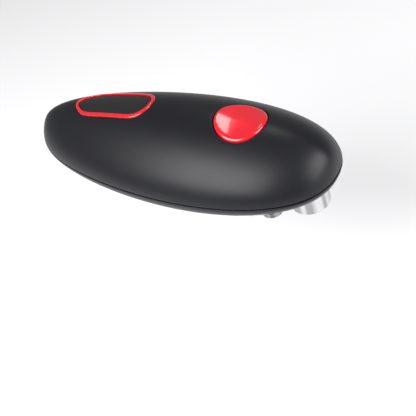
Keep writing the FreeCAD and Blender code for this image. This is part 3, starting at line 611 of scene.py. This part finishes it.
class Build:
    """Collects points and faces for one closed mesh."""

    def __init__(self):
        self.points = []
        self.faces = []

    def add(self, points):
        start = len(self.points)
        self.points.extend(tuple(float(number) for number in point) for point in points)
        return np.arange(start, start + len(points))

    def bridge(self, first, second, flip=False):
        """Quads between two closed rings with the same number of points."""
        count = len(first)
        for index in range(count):
            after = (index + 1) % count
            quad = (first[index], first[after], second[after], second[index])
            self.faces.append(quad[::-1] if flip else quad)

    def wall(self, start, rings, end=None, flip=False):
        """Bridge from a ring through new ones, and on to an end ring if there is one."""
        for points in rings:
            ring = self.add(points)
            self.bridge(start, ring, flip)
            start = ring
        if end is not None:
            self.bridge(start, end, flip)
        return start

    def tube(self, rings):
        """Bridge new rings one to the next, and the last to the first."""
        first = self.add(rings[0])
        self.wall(first, rings[1:], first)

    def sheets(self, top, under, faces):
        """Both sides of a panel, facing away from each other."""
        top_places, under_places = self.add(top), self.add(under)
        self.faces.extend(top_places[face] for face in faces)
        self.faces.extend(under_places[face[::-1]] for face in faces)
        return top_places, under_places

    def cap(self, ring, centre, flip=False):
        """A fan from a ring to one centre point."""
        middle = self.add([centre])[0]
        count = len(ring)
        for index in range(count):
            fan = (ring[index], ring[(index + 1) % count], middle)
            self.faces.append(fan[::-1] if flip else fan)

    def object(self, name, material, smooth_angle=40.0):
        mesh = bpy.data.meshes.new(name)
        mesh.from_pydata(self.points, [], [tuple(int(corner) for corner in face) for face in self.faces])
        mesh.validate()
        mesh.update()
        piece = bpy.data.objects.new(name, mesh)
        bpy.context.scene.collection.objects.link(piece)
        mesh.materials.append(material)
        outside_out(mesh)
        mesh.shade_smooth()
        mesh.set_sharp_from_angle(angle=math.radians(smooth_angle))
        return piece


def outside_out(mesh):
    """Turn every face outwards if the closed mesh came out inside out."""
    work = bmesh.new()
    work.from_mesh(mesh)
    bmesh.ops.recalc_face_normals(work, faces=work.faces)
    if work.calc_volume(signed=True) < 0:
        bmesh.ops.reverse_faces(work, faces=work.faces)
    work.to_mesh(mesh)
    work.free()


def quarter(steps=4):
    """The angles of a quarter turn, without its start."""
    return [math.pi / 2 * index / steps for index in range(1, steps + 1)]


def rounded_edge(surface, loop, way, radius, lift=0.0):
    """Rings that round a panel's edge over, moving along way in the plan."""
    return [surface.points(loop + way * radius * math.sin(angle), lift - radius * (1 - math.cos(angle)))
            for angle in quarter()]


def lathe(build, profile, centre, sides=96):
    """Turn an open profile of (radius, height) about an upright axis; ends on the axis are closed."""
    previous = None
    for index, (radius, level) in enumerate(profile):
        if radius == 0:
            middle = (*centre, level)
            if previous is not None:
                build.cap(previous, middle)
            previous = None
            continue
        ring = build.add(at_level(turned(*centre, radius, sides), level))
        if previous is not None:
            build.bridge(previous, ring)
        elif index:
            build.cap(ring, middle, flip=True)
        previous = ring


def sleeve(name, x, inner, outer, sides, low, high):
    """An upright sleeve on the middle line; low and high give its ends' heights over the plan."""
    build = Build()
    rings = []
    for radius, height in ((inner, low), (inner, high), (outer, high), (outer, low)):
        plan = turned(x, 0.0, radius, sides)
        rings.append(at_level(plan, height(plan)))
    build.tube(rings)
    finish_piece(build.object(name, MATERIALS["soft_touch"]), "housing", "soft_touch")


def arc(centre_r, centre_z, radius, start, end, steps=5):
    """Points of a round corner in a lathe's profile, angles in degrees."""
    return [(centre_r + radius * math.cos(math.radians(a)), centre_z + radius * math.sin(math.radians(a)))
            for a in np.linspace(start, end, steps)]


def finish_piece(piece, body, slot, *nodes):
    """Hang a piece on the body it rides on and hide the plain nodes it stands for; slot, its finish, is not
    used.
    """
    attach(piece, body)
    if nodes:
        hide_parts(*nodes)


def smooth_loop(corners, per_span=16):
    """A periodic cubic spline through the corners, spaced by the chords between them."""
    corners = np.array(corners, float)
    count = len(corners)
    gaps = np.linalg.norm(np.roll(corners, -1, axis=0) - corners, axis=1)
    matrix = np.zeros((count, count))
    right = np.zeros((count, 2))
    for index in range(count):
        before, after = gaps[index - 1], gaps[index]
        matrix[index, index - 1] += before
        matrix[index, index] += 2 * (before + after)
        matrix[index, (index + 1) % count] += after
        right[index] = 6 * ((corners[(index + 1) % count] - corners[index]) / after
                            - (corners[index] - corners[index - 1]) / before)
    bend = np.linalg.solve(matrix, right)
    points = []
    for index in range(count):
        after, gap = (index + 1) % count, gaps[index]
        for t in np.arange(per_span) / per_span:
            u = 1 - t
            points.append(u * corners[index] + t * corners[after]
                          + gap * gap / 6 * ((u ** 3 - u) * bend[index] + (t ** 3 - t) * bend[after]))
    return np.array(points)


# ---------------------------------------------------------------- outlines of this opener

# Half of the grip trim's outline, as shares of its half length and half width.
GRIP_CORNERS = [(1.0, 0.0), (0.985, 0.33), (0.92, 0.63), (0.84, 0.84), (0.73, 0.97), (0.55, 1.02),
                (0.2, 1.01), (-0.2, 0.98), (-0.5, 0.93), (-0.67, 0.82), (-0.81, 0.58), (-0.92, 0.27),
                (-0.955, 0.0)]
# The cutting head's core outline in millimetres.
HEAD_CORE = [(32.0, -19.0), (42.0, -19.2), (57.5, -14.8), (63.3, -11.0), (60.0, -2.0), (52.0, 1.5),
             (32.0, 1.5)]
# Each housing screw's place, and the height of the seat that its head pulls against.
SCREWS = [(-80.5 * MM, 0.0, 17.0 * MM), (2.0 * MM, 27.0 * MM, 15.0 * MM), (2.0 * MM, -27.0 * MM, 15.0 * MM),
          (55.0 * MM, 25.0 * MM, 16.5 * MM)]
# The start button's section in millimetres: distance from its axis, and height over the dome.
BUTTON_DISH = [(0.0, -0.95), (1.5, -0.94), (3.0, -0.90), (4.5, -0.82), (6.0, -0.70), (7.5, -0.52),
               (9.0, -0.27), (10.0, -0.06), (11.0, 0.18), (11.8, 0.38), (12.4, 0.50), (12.9, 0.54),
               (13.3, 0.46), (13.65, 0.26), (13.9, 0.0), (14.05, -0.35), (14.1, -0.8), (14.1, -1.8),
               (14.1, -3.0)]
RIM_ROUND = 0.3 * MM


def grip_loop(inset, count):
    """The trim's outline: blunt towards the button and drawn out to the rear, anticlockwise."""
    keys = controls()
    corners = GRIP_CORNERS + [(x, -y) for x, y in GRIP_CORNERS[-2:0:-1]]
    long, wide = keys.grip_half - inset, keys.grip_wide - inset
    loop = smooth_loop([(keys.grip_middle + x * long, y * wide) for x, y in corners])
    return even_loop(loop, count=count)


def head_outline(grow, step):
    """The cutting head's core outline grown outwards."""
    return rounded_outline(np.array(HEAD_CORE) * MM, grow, step)


def door_outline(grow, step):
    parts = head()
    corner = 3.0 * MM
    low_x, high_x = parts.door_rear + corner, parts.door_front - corner
    half = parts.door_half - corner
    corners = [(low_x, -half), (high_x, -half), (high_x, half), (low_x, half)]
    return rounded_outline(corners, corner + grow, step)


# ---------------------------------------------------------------- operators

MATERIALS = {}


def centre_of(node):
    low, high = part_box(node)
    return tuple((low + high) / 2)


def axis_of(node):
    x, y, _ = centre_of(node)
    return x, y


class OpenerOperator(bpy.types.Operator):
    """Shared settings of the opener's operators"""
    bl_options = {"REGISTER", "UNDO"}


class OPENER_OT_finishes(OpenerOperator):
    """Make every finish the opener uses"""
    bl_idname = "opener.finishes"
    bl_label = "Finishes"

    def execute(self, context):
        tones = finish_colours()
        MATERIALS.update(
            soft_touch=soft_touch("soft_touch_black", tones.soft_black, 0.40),
            inset=inset_panel("grip_inset_black", tones.inset_black),
            red=gloss_plastic("gloss_red", tones.gloss_red),
            cup=brushed_round_painted_bands("turned_bright_steel", tones.bright_steel, (head().magnet_x, 0, 0)),
            blade=brushed_round_painted_bands("ground_cutter_steel", tones.bright_steel, centre_of("cutter_wheel"), 0.2),
            drive=brushed_round_painted_bands("hardened_drive_steel", tones.tool_steel, centre_of("drive_wheel"), 0.33),
            zinc=ground_metal("zinc_plate", tones.zinc, 0.36),
            tool=ground_metal("dark_tool_steel", tones.tool_steel, 0.32, (14.0, 14.0, 1.0)),
            spring=ground_metal("drawn_spring_wire", tones.zinc, 0.25, (1.0, 1.0, 12.0)),
            brass=ground_metal("turned_brass", tones.brass, 0.28),
            moulding=moulded("black_moulding", tones.moulding, 0.5),
            nylon=moulded("natural_nylon", tones.nylon, 0.42),
            ferrite=moulded("grey_ferrite", (0.05, 0.05, 0.055, 1), 0.6),
            board=circuit_board("green_circuit_board"),
            cell=cell_sleeve("cell_sleeve"),
            floor=studio_floor("studio_paper", tones.floor),
        )
        return {"FINISHED"}


class OPENER_OT_upper_shell(OpenerOperator):
    """Build the dome with its button well and the seat of the grip trim"""
    bl_idname = "opener.upper_shell"
    bl_label = "Upper shell"

    def execute(self, context):
        keys, dome, step = controls(), EggHalf("dome"), housing().mesh_step
        edge, lip, trim_gap, trim_round = 0.35 * MM, 0.55 * MM, 0.32 * MM, 0.2 * MM
        button = circle(keys.button_x, 0, keys.button_hole + lip, step * 0.7)
        trim = grip_loop(-trim_gap, 180)
        build = skin_shell(dome, dome.rim(edge, step), [(button, lip), (trim, trim_round)], edge)
        shell = build.object("upper_shell_skin", MATERIALS["soft_touch"])
        finish_piece(shell, "housing", "soft_touch", "upper_shell")
        well_foot, well_wall, below_skin = 46.6 * MM, 1.3 * MM, 1.4 * MM
        sleeve("button_well", keys.button_x, keys.button_hole, keys.button_hole + well_wall, 120,
               lambda plan: well_foot,
               lambda plan: np.maximum(dome.height(plan, -below_skin), well_foot + 0.2 * MM))
        return {"FINISHED"}


def skin_shell(surface, rim, holes, edge):
    """The curved shell of one housing half, closed at the seam. Each hole is a loop and its rounding."""
    thickness = housing().wall
    loops = [loop for loop, _ in holes]
    plan, faces = fill_plan(rim, loops, housing().mesh_step, surface.spread_out, surface.draw_in)
    outer = surface.points(plan)
    inner = outer - surface_normals(surface, plan, loops) * thickness
    rim_places, *hole_places = loop_places([rim] + loops)
    inwards = -outward(rim)
    ledge = surface.seam + surface.up * (edge - RIM_ROUND)
    inner[rim_places] = at_level(rim + inwards * thickness, ledge)
    for (loop, radius), places in zip(holes, hole_places):
        inner[places] = surface.points(loop - outward(loop) * radius, -thickness)
    build = Build()
    top, under = build.sheets(outer, inner, faces)
    rings = [at_level(rim + inwards * RIM_ROUND * (1 - math.cos(angle)),
                      surface.seam + surface.up * (edge - RIM_ROUND * math.sin(angle)))
             for angle in quarter()]
    if surface.up < 0:
        # The belly steps in and rises to the seam, which leaves the groove between the halves.
        step_in = rim + inwards * 0.75 * MM
        rings += [at_level(step_in, ledge), at_level(step_in, surface.seam),
                  at_level(rim + inwards * (thickness - 0.2 * MM), surface.seam)]
    build.wall(top[rim_places], rings, under[rim_places])
    for (loop, radius), places in zip(holes, hole_places):
        build.wall(top[places], rounded_edge(surface, loop, -outward(loop), radius), under[places])
    return build


def surface_normals(surface, plan, upright_loops):
    """Unit normals of the skin, turned upright close to the loops given."""
    nudge, steepest, reach = 0.01 * MM, 50.0, 7 * MM
    slopes = [(surface.height(plan + shift) - surface.height(plan - shift)) / (2 * nudge)
              for shift in ((nudge, 0), (0, nudge))]
    normal = np.column_stack([-slopes[0], -slopes[1], np.ones(len(plan))]) * surface.up
    normal = np.nan_to_num(normal, nan=0.0, posinf=steepest, neginf=-steepest)
    normal /= np.linalg.norm(normal, axis=1)[:, None]
    upright = (1 - np.clip(far_from(plan, upright_loops) / reach, 0, 1))[:, None]
    normal = normal * (1 - upright) + np.array([0, 0, surface.up]) * upright
    return normal / np.linalg.norm(normal, axis=1)[:, None]


def curved_panel(surface, loop, step, thickness, edge_round, lift=0.0, relief=None):
    """A loose panel that follows the surface, rounded at its edge, as a closed solid."""
    plan, faces = fill_plan(loop, [], step)
    outer = surface.points(plan, lift)
    if relief is not None:
        outer[:, 2] += relief(plan)
    inner = surface.points(plan, lift - thickness)
    edge, out = np.arange(len(loop)), outward(loop)
    inner[edge] = surface.points(loop + out * edge_round, lift - thickness)
    build = Build()
    top, under = build.sheets(outer, inner, faces)
    build.wall(top[edge], rounded_edge(surface, loop, out, edge_round, lift), under[edge])
    return build


class OPENER_OT_lower_shell(OpenerOperator):
    """Build the belly with its battery bay, magnet hole, screw wells and cutting-head boss"""
    bl_idname = "opener.lower_shell"
    bl_label = "Lower shell"

    screw_hole = 3.1 * MM

    def execute(self, context):
        shape, parts = housing(), head()
        belly, step = EggHalf("belly"), shape.mesh_step
        edge = shape.groove + RIM_ROUND
        soft, crisp, door_gap, boss_foot = 0.4 * MM, 0.3 * MM, 0.3 * MM, 5.15 * MM
        holes = [(door_outline(door_gap + soft, step * 0.8), soft),
                 (circle(parts.magnet_x, 0, parts.magnet_hole + soft, step * 0.7), soft),
                 (head_outline(boss_foot + crisp, step * 0.8), crisp)]
        holes += [(circle(x, y, self.screw_hole + crisp, step * 0.5), crisp) for x, y, _ in SCREWS]
        build = skin_shell(belly, belly.rim(edge, step), holes, edge)
        shell = build.object("lower_shell_skin", MATERIALS["soft_touch"])
        finish_piece(shell, "housing", "soft_touch", "lower_shell")
        self.boss(step)
        collar_top, collar_radius, below_skin = 17.5 * MM, 13.0 * MM, 1.2 * MM
        sleeve("magnet_collar", parts.magnet_x, parts.magnet_hole, collar_radius, 112,
               lambda plan: np.minimum(belly.height(plan, -below_skin), collar_top),
               lambda plan: collar_top)
        self.wells(belly)
        return {"FINISHED"}

    def boss(self, step):
        """The flared boss under the shell that the steel head plate is screwed to."""
        low, floor, high = 5.1 * MM, 7.3 * MM, 11.0 * MM
        corner, flare, lip = 0.4 * MM, 2.1 * MM, 0.2 * MM
        holes = [circle(*axis_of("cutter_carrier"), 8.3 * MM, step * 0.6),
                 circle(*axis_of("drive_wheel"), 3.55 * MM, step * 0.5)]
        bottom = head_outline(5.6 * MM, step)
        plan, faces = fill_plan(bottom, holes, step)
        build = Build()
        ceiling, face = build.sheets(at_level(plan, floor), at_level(plan, low), faces)
        edge, *openings = loop_places([bottom] + holes)
        for places in openings:
            build.bridge(face[places], ceiling[places], flip=True)
        out = outward(bottom)
        magnet = np.array([head().magnet_x, 0])
        rings = [at_level(bottom + out * corner * math.sin(angle), low + corner * (1 - math.cos(angle)))
                 for angle in quarter()]
        for level in np.linspace(low + corner, high, 5)[1:]:
            grow = corner + flare * (level - low) / (high - low)
            rings.append(at_level(keep_clear(bottom + out * grow, magnet, 12.4 * MM), level))
        rings.append(at_level(keep_clear(bottom + out * lip, magnet, 13.4 * MM), high))
        build.wall(face[edge], rings, ceiling[edge], flip=True)
        finish_piece(build.object("head_boss", MATERIALS["soft_touch"], 30), "housing", "soft_touch")

    def wells(self, belly):
        """Screw wells that run up from the belly to each screw's seat."""
        inside, shank, outside = self.screw_hole, 1.55 * MM, 4.0 * MM
        top = housing().seam_height - 0.1 * MM
        for index, (x, y, seat) in enumerate(SCREWS):
            build = Build()
            base = float(belly.height(np.array([[x, y]]))[0]) + 1.2 * MM
            profile = [(inside, base), (inside, seat), (shank, seat), (shank, top), (outside, top),
                       (outside, base), (inside, base)]
            lathe(build, profile, (x, y), 40)
            finish_piece(build.object(f"screw_well_{index + 1}", MATERIALS["soft_touch"], 30), "housing",
                         "soft_touch")


def keep_clear(plan, centre, radius):
    """Push plan points out of a circle."""
    away = plan - centre
    far = np.linalg.norm(away, axis=1)
    return centre + away * (np.maximum(far, radius) / far)[:, None]


class OPENER_OT_battery_door(OpenerOperator):
    """Build the battery door with its row of thumb ridges"""
    bl_idname = "opener.battery_door"
    bl_label = "Battery door"

    def execute(self, context):
        belly, parts = EggHalf("belly"), head()
        step = housing().mesh_step * 0.8
        gap, thickness, round_off = 0.35 * MM, 2.0 * MM, 0.35 * MM
        loop = door_outline(-gap, step)
        build = curved_panel(belly, loop, step * 0.6, thickness, round_off, relief=self.ridges)
        finish_piece(build.object("battery_door_panel", MATERIALS["soft_touch"], 60), "door", "soft_touch",
                     "battery_door")
        return {"FINISHED"}

    def ridges(self, plan):
        """Grooves across the door near its front edge, fading out round their patch."""
        pitch, deep, fade, side_fade = 2.4 * MM, 0.45 * MM, 1 * MM, 1.5 * MM
        first, last, half = 4 * MM, 16 * MM, 11 * MM
        along = head().door_front - plan[:, 0]
        window = np.clip((along - first) / fade, 0, 1) * np.clip((last - along) / fade, 0, 1)
        window *= np.clip((half - np.abs(plan[:, 1])) / side_fade, 0, 1)
        return window * (0.5 + 0.5 * np.cos(along * 2 * math.pi / pitch)) * deep


class OPENER_OT_grip_trim(OpenerOperator):
    """Build the raised red ring on the handle and the black pad inside it"""
    bl_idname = "opener.grip_trim"
    bl_label = "Grip trim"

    def execute(self, context):
        dome, band = EggHalf("dome"), controls().ring_band
        crown, round_off, root = 0.58 * MM, 0.55 * MM, 1.15 * MM
        section = [(0.0, -root)]
        for degrees in (0, 20, 40, 60, 80):
            turn = math.radians(degrees)
            section.append((round_off * (1 - math.cos(turn)), crown - round_off * (1 - math.sin(turn))))
        section.append((band / 2, crown))
        section += [(band - inset, lift) for inset, lift in section[-2::-1]]
        ring = Build()
        ring.tube([dome.points(grip_loop(inset, 260), lift) for inset, lift in section])
        finish_piece(ring.object("grip_ring_trim", MATERIALS["red"], 70), "housing", "red_gloss",
                     "grip_ring")
        gap, drop, step, thickness, pad_round = 0.35 * MM, 0.35 * MM, 0.9 * MM, 0.9 * MM, 0.25 * MM
        pad = curved_panel(dome, grip_loop(band + gap, 150), step, thickness, pad_round, lift=-drop)
        finish_piece(pad.object("grip_pad_inset", MATERIALS["inset"], 60), "housing", "black_gloss",
                     "grip_pad")
        return {"FINISHED"}


class OPENER_OT_start_button(OpenerOperator):
    """Build the dished red start button"""
    bl_idname = "opener.start_button"
    bl_label = "Start button"

    def execute(self, context):
        dome, keys, sides = EggHalf("dome"), controls(), 144
        outwards = keys.button_radius / BUTTON_DISH[-1][0]
        flange, wall = 15.4 * MM, 12.3 * MM
        low, flange_top, ceiling = 44.8 * MM, 46.2 * MM, 47.6 * MM
        post, post_foot = 2.5 * MM, 45.95 * MM
        skin = [dome.points(turned(keys.button_x, 0.0, out * outwards, sides), lift * MM)
                for out, lift in BUTTON_DISH[1:]]
        skirt = [at_level(turned(keys.button_x, 0.0, radius, sides), level)
                 for radius, level in ((keys.button_radius, flange_top), (flange, flange_top),
                                       (flange, low), (wall, low), (wall, ceiling), (post, ceiling),
                                       (post, post_foot))]
        build = Build()
        first = build.add(skin[0])
        build.cap(first, dome.points(np.array([[keys.button_x, 0.0]]), BUTTON_DISH[0][1] * MM)[0])
        last = build.wall(first, skin[1:] + skirt, flip=True)
        build.cap(last, (keys.button_x, 0.0, post_foot), flip=True)
        finish_piece(build.object("start_button_cap", MATERIALS["red"], 60), "button", "red_gloss",
                     "start_button")
        return {"FINISHED"}


class OPENER_OT_lid_magnet(OpenerOperator):
    """Build the turned steel cup of the lid magnet"""
    bl_idname = "opener.lid_magnet"
    bl_label = "Lid magnet"

    def execute(self, context):
        parts = head()
        radius, top = parts.magnet_radius, 14.5 * MM
        face_edge, recess, corner, lip, wall = 7.2 * MM, 0.35 * MM, 0.9 * MM, 0.3 * MM, 0.8 * MM
        profile = [(0.0, recess), (face_edge - 0.6 * MM, recess), (face_edge - 0.3 * MM, 0.05 * MM),
                   (face_edge, 0.0)]
        profile += arc(radius - corner, corner, corner, -90, 0, 7)
        profile += [(radius, corner + 0.3 * MM), (radius, 6.0 * MM), (radius, top - lip)]
        profile += arc(radius - lip, top - lip, lip, 0, 90, 3)
        profile += [(radius - wall, top), (radius - wall, wall), (0.0, wall)]
        build = Build()
        lathe(build, profile, (parts.magnet_x, 0.0), 144)
        finish_piece(build.object("magnet_cup_turned", MATERIALS["cup"], 50), "magnet", "bright_steel",
                     "magnet_cup")
        return {"FINISHED"}


class OPENER_OT_cutting_head(OpenerOperator):
    """Build the knurled drive wheel and the bevelled cutter wheel"""
    bl_idname = "opener.cutting_head"
    bl_label = "Cutting head"

    def execute(self, context):
        self.drive_wheel()
        self.cutter_wheel()
        return {"FINISHED"}

    def drive_wheel(self):
        """Toothed rim between two chamfered faces, with a recess for its screw."""
        x, y = axis_of("drive_wheel")
        low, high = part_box("drive_wheel")
        base, top, rim = low.z, high.z, (high.x - low.x) / 2
        per_tooth, bore, recess, recess_deep = 8, 1.25 * MM, 3.0 * MM, 1.2 * MM
        count = head().notches * per_tooth
        phase = (np.arange(count) % per_tooth) / per_tooth
        tooth = np.clip(1.7 * np.abs(phase * 2 - 1) - 0.35, 0, 1)
        levels = [(bore, top, 0), (rim - 1.0 * MM, top, 0), (rim - 0.55 * MM, top - 0.1 * MM, 0.1 * MM),
                  (rim - 0.15 * MM, top - 0.45 * MM, 0.4 * MM), (rim, top - 0.8 * MM, 0.5 * MM),
                  (rim, base + 0.6 * MM, 0.5 * MM), (rim - 0.15 * MM, base + 0.3 * MM, 0.4 * MM),
                  (rim - 0.5 * MM, base + 0.05 * MM, 0.1 * MM), (rim - 0.8 * MM, base, 0),
                  (recess + 0.15 * MM, base, 0), (recess, base + 0.15 * MM, 0),
                  (recess, base + recess_deep, 0), (bore, base + recess_deep, 0)]
        build = Build()
        build.tube([at_level(turned(x, y, radius - deep * (1 - tooth), count), level)
                    for radius, level, deep in levels])
        finish_piece(build.object("drive_wheel_toothed", MATERIALS["drive"], 32), "drive", "tool_steel",
                     "drive_wheel")

    def cutter_wheel(self):
        """A thin disc ground to a sharp edge, with a raised hub."""
        low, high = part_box("cutter_wheel")
        x, y = axis_of("cutter_wheel")
        base, top, rim, bore = low.z, high.z, (high.x - low.x) / 2, 2.05 * MM
        profile = [(bore, base), (3.9 * MM, base), (4.2 * MM, base + 0.12 * MM),
                   (rim - 0.5 * MM, base + 0.12 * MM), (rim, base + 0.2 * MM),
                   (rim - 0.02 * MM, base + 0.26 * MM), (rim - 1.7 * MM, top - 0.1 * MM),
                   (rim - 2.1 * MM, top), (bore, top), (bore, base)]
        build = Build()
        lathe(build, profile, (x, y), 128)
        finish_piece(build.object("cutter_wheel_ground", MATERIALS["blade"], 14), "cutter", "bright_steel",
                     "cutter_wheel")


class OPENER_OT_frame_parts(OpenerOperator):
    """Give every CAD piece that still shows its finish and softened edges"""
    bl_idname = "opener.frame_parts"
    bl_label = "Frame parts"

    finishes = {
        "zinc": ("housing_screws", "board_screws", "battery_contacts", "motor_can", "gearbox_base",
                 "gearbox_pillars", "gearbox_screws", "head_plate", "head_screws", "wheel_screw"),
        "tool": ("motor_rotor", "gear_3", "drive_gear", "gear_axles", "drive_shaft", "cutter_rivet",
                 "pinion_pin"),
        "spring": ("button_spring", "battery_springs", "magnet_spring", "magnet_clip"),
        "brass": ("motor_pinion", "drive_bushing", "cutter_spacer"),
        "moulding": ("micro_switch", "battery_holder", "motor_end_cap", "gearbox_top", "cutter_carrier",
                     "magnet_plunger"),
        "nylon": ("switch_plunger", "gear_1", "gear_2", "closing_pinion"),
        "ferrite": ("magnet_disc",),
        "board": ("switch_board",),
        "cell": ("aa_cells",),
    }
    softened = {"head_plate": 0.25, "cutter_rivet": 0.2, "wheel_screw": 0.1, "head_screws": 0.1,
                "cutter_carrier": 0.15}

    def execute(self, context):
        for finish, nodes in self.finishes.items():
            for node in nodes:
                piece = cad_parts[node]
                piece.data.materials.clear()
                piece.data.materials.append(MATERIALS[finish])
        for node, width in self.softened.items():
            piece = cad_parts[node]
            weld = piece.modifiers.new("weld", "WELD")
            weld.merge_threshold = 0.001 * MM
            bevel = piece.modifiers.new("soft_edge", "BEVEL")
            bevel.width = width * MM
            bevel.segments = 2
            bevel.limit_method = "ANGLE"
            bevel.angle_limit = math.radians(50)
        return {"FINISHED"}


class OPENER_OT_studio(OpenerOperator):
    """Lay the floor, hang the soft lights and aim the camera"""
    bl_idname = "opener.studio"
    bl_label = "Studio"

    def execute(self, context):
        context.scene.view_settings.view_transform = "Standard"
        self.floor()
        self.lights()
        self.camera()
        return {"FINISHED"}


    def floor(self):
        """Seamless paper, a can's height below the opener."""
        half, low = 3.0, -0.11
        build = Build()
        build.add([(-half, -half, low), (half, -half, low), (half, half, low), (-half, half, low)])
        mesh = bpy.data.meshes.new("studio_floor")
        mesh.from_pydata(build.points, [], [(0, 1, 2, 3)])
        mesh.materials.append(MATERIALS["floor"])
        floor = bpy.data.objects.new("studio_floor", mesh)
        bpy.context.scene.collection.objects.link(floor)

    def lights(self):
        world = bpy.context.scene.world or bpy.data.worlds.new("studio")
        bpy.context.scene.world = world
        world.use_nodes = True
        sky = world.node_tree.nodes["Background"]
        sky.inputs["Color"].default_value = (1, 1, 1, 1)
        sky.inputs["Strength"].default_value = 0.30
        self.panel("flank_light", -16, 39, 0.95, 0.75, 21.0)
        self.panel("nose_light", 93, 24, 0.85, 0.8, 15.0)
        self.panel("rear_light", -171, 59, 0.3, 0.3, 1.8)

    def panel(self, name, azimuth, elevation, wide, tall, watts):
        """A soft panel 1.2 m away that faces the opener; azimuth 0 is towards -Y and 90 towards +X."""
        turn, lift, away = math.radians(azimuth), math.radians(elevation), 1.2
        target = Vector((0, 0, 0.03))
        place = target + away * Vector((math.sin(turn) * math.cos(lift), -math.cos(turn) * math.cos(lift),
                                        math.sin(lift)))
        light = bpy.data.lights.new(name, "AREA")
        light.shape = "RECTANGLE"
        light.size = wide
        light.size_y = tall
        light.energy = watts
        lamp = bpy.data.objects.new(name, light)
        bpy.context.scene.collection.objects.link(lamp)
        lamp.location = place
        lamp.rotation_euler = (place - target).to_track_quat("Z", "Y").to_euler()

    def camera(self):
        """Look down at the nose's right-hand side, with the camera rolled."""
        azimuth, elevation, roll = math.radians(43.0), math.radians(36.7), math.radians(20.4)
        distance, focal_length_mm = 0.4927, 74.8731
        back = Vector((math.sin(azimuth) * math.cos(elevation), -math.cos(azimuth) * math.cos(elevation),
                       math.sin(elevation)))
        right = Vector((math.cos(azimuth), math.sin(azimuth), 0))
        up = back.cross(right)
        turned_right = right * math.cos(roll) - up * math.sin(roll)
        turned_up = up * math.cos(roll) + right * math.sin(roll)
        data = bpy.data.cameras.new("studio_camera")
        data.sensor_width = 36.0
        data.lens = focal_length_mm
        data.shift_x, data.shift_y = 0.07043, -0.14014
        data.clip_start = 0.01
        camera = bpy.data.objects.new("studio_camera", data)
        bpy.context.scene.collection.objects.link(camera)
        target = Vector((0, 0, housing().seam_height))
        matrix = Matrix((turned_right, turned_up, back)).transposed().to_4x4()
        matrix.translation = target + back * distance
        camera.matrix_world = matrix
        bpy.context.scene.camera = camera


class OPENER_PT_panel(bpy.types.Panel):
    """Lists the opener's building steps"""
    bl_idname = "OPENER_PT_panel"
    bl_label = "Can opener"
    bl_space_type = "VIEW_3D"
    bl_region_type = "UI"
    bl_category = "Can opener"

    def draw(self, context):
        for step in STEPS:
            self.layout.operator(step.bl_idname)


GROUPS = {"opener_housing": OpenerHousing, "opener_controls": OpenerControls, "opener_head": OpenerHead,
          "opener_finish": OpenerFinish}
STEPS = (OPENER_OT_finishes, OPENER_OT_upper_shell, OPENER_OT_lower_shell, OPENER_OT_battery_door,
         OPENER_OT_grip_trim, OPENER_OT_start_button, OPENER_OT_lid_magnet, OPENER_OT_cutting_head,
         OPENER_OT_frame_parts, OPENER_OT_studio)


def register():
    for kind in (*GROUPS.values(), *STEPS, OPENER_PT_panel):
        bpy.utils.register_class(kind)
    for name, kind in GROUPS.items():
        setattr(bpy.types.Scene, name, PointerProperty(type=kind))


def unregister():
    for name in GROUPS:
        delattr(bpy.types.Scene, name)
    for kind in (OPENER_PT_panel, *reversed(STEPS), *GROUPS.values()):
        bpy.utils.unregister_class(kind)


def main():
    register()
    for step in STEPS:
        family, name = step.bl_idname.split(".")
        getattr(getattr(bpy.ops, family), name)()


if __name__ == "__main__":
    main()
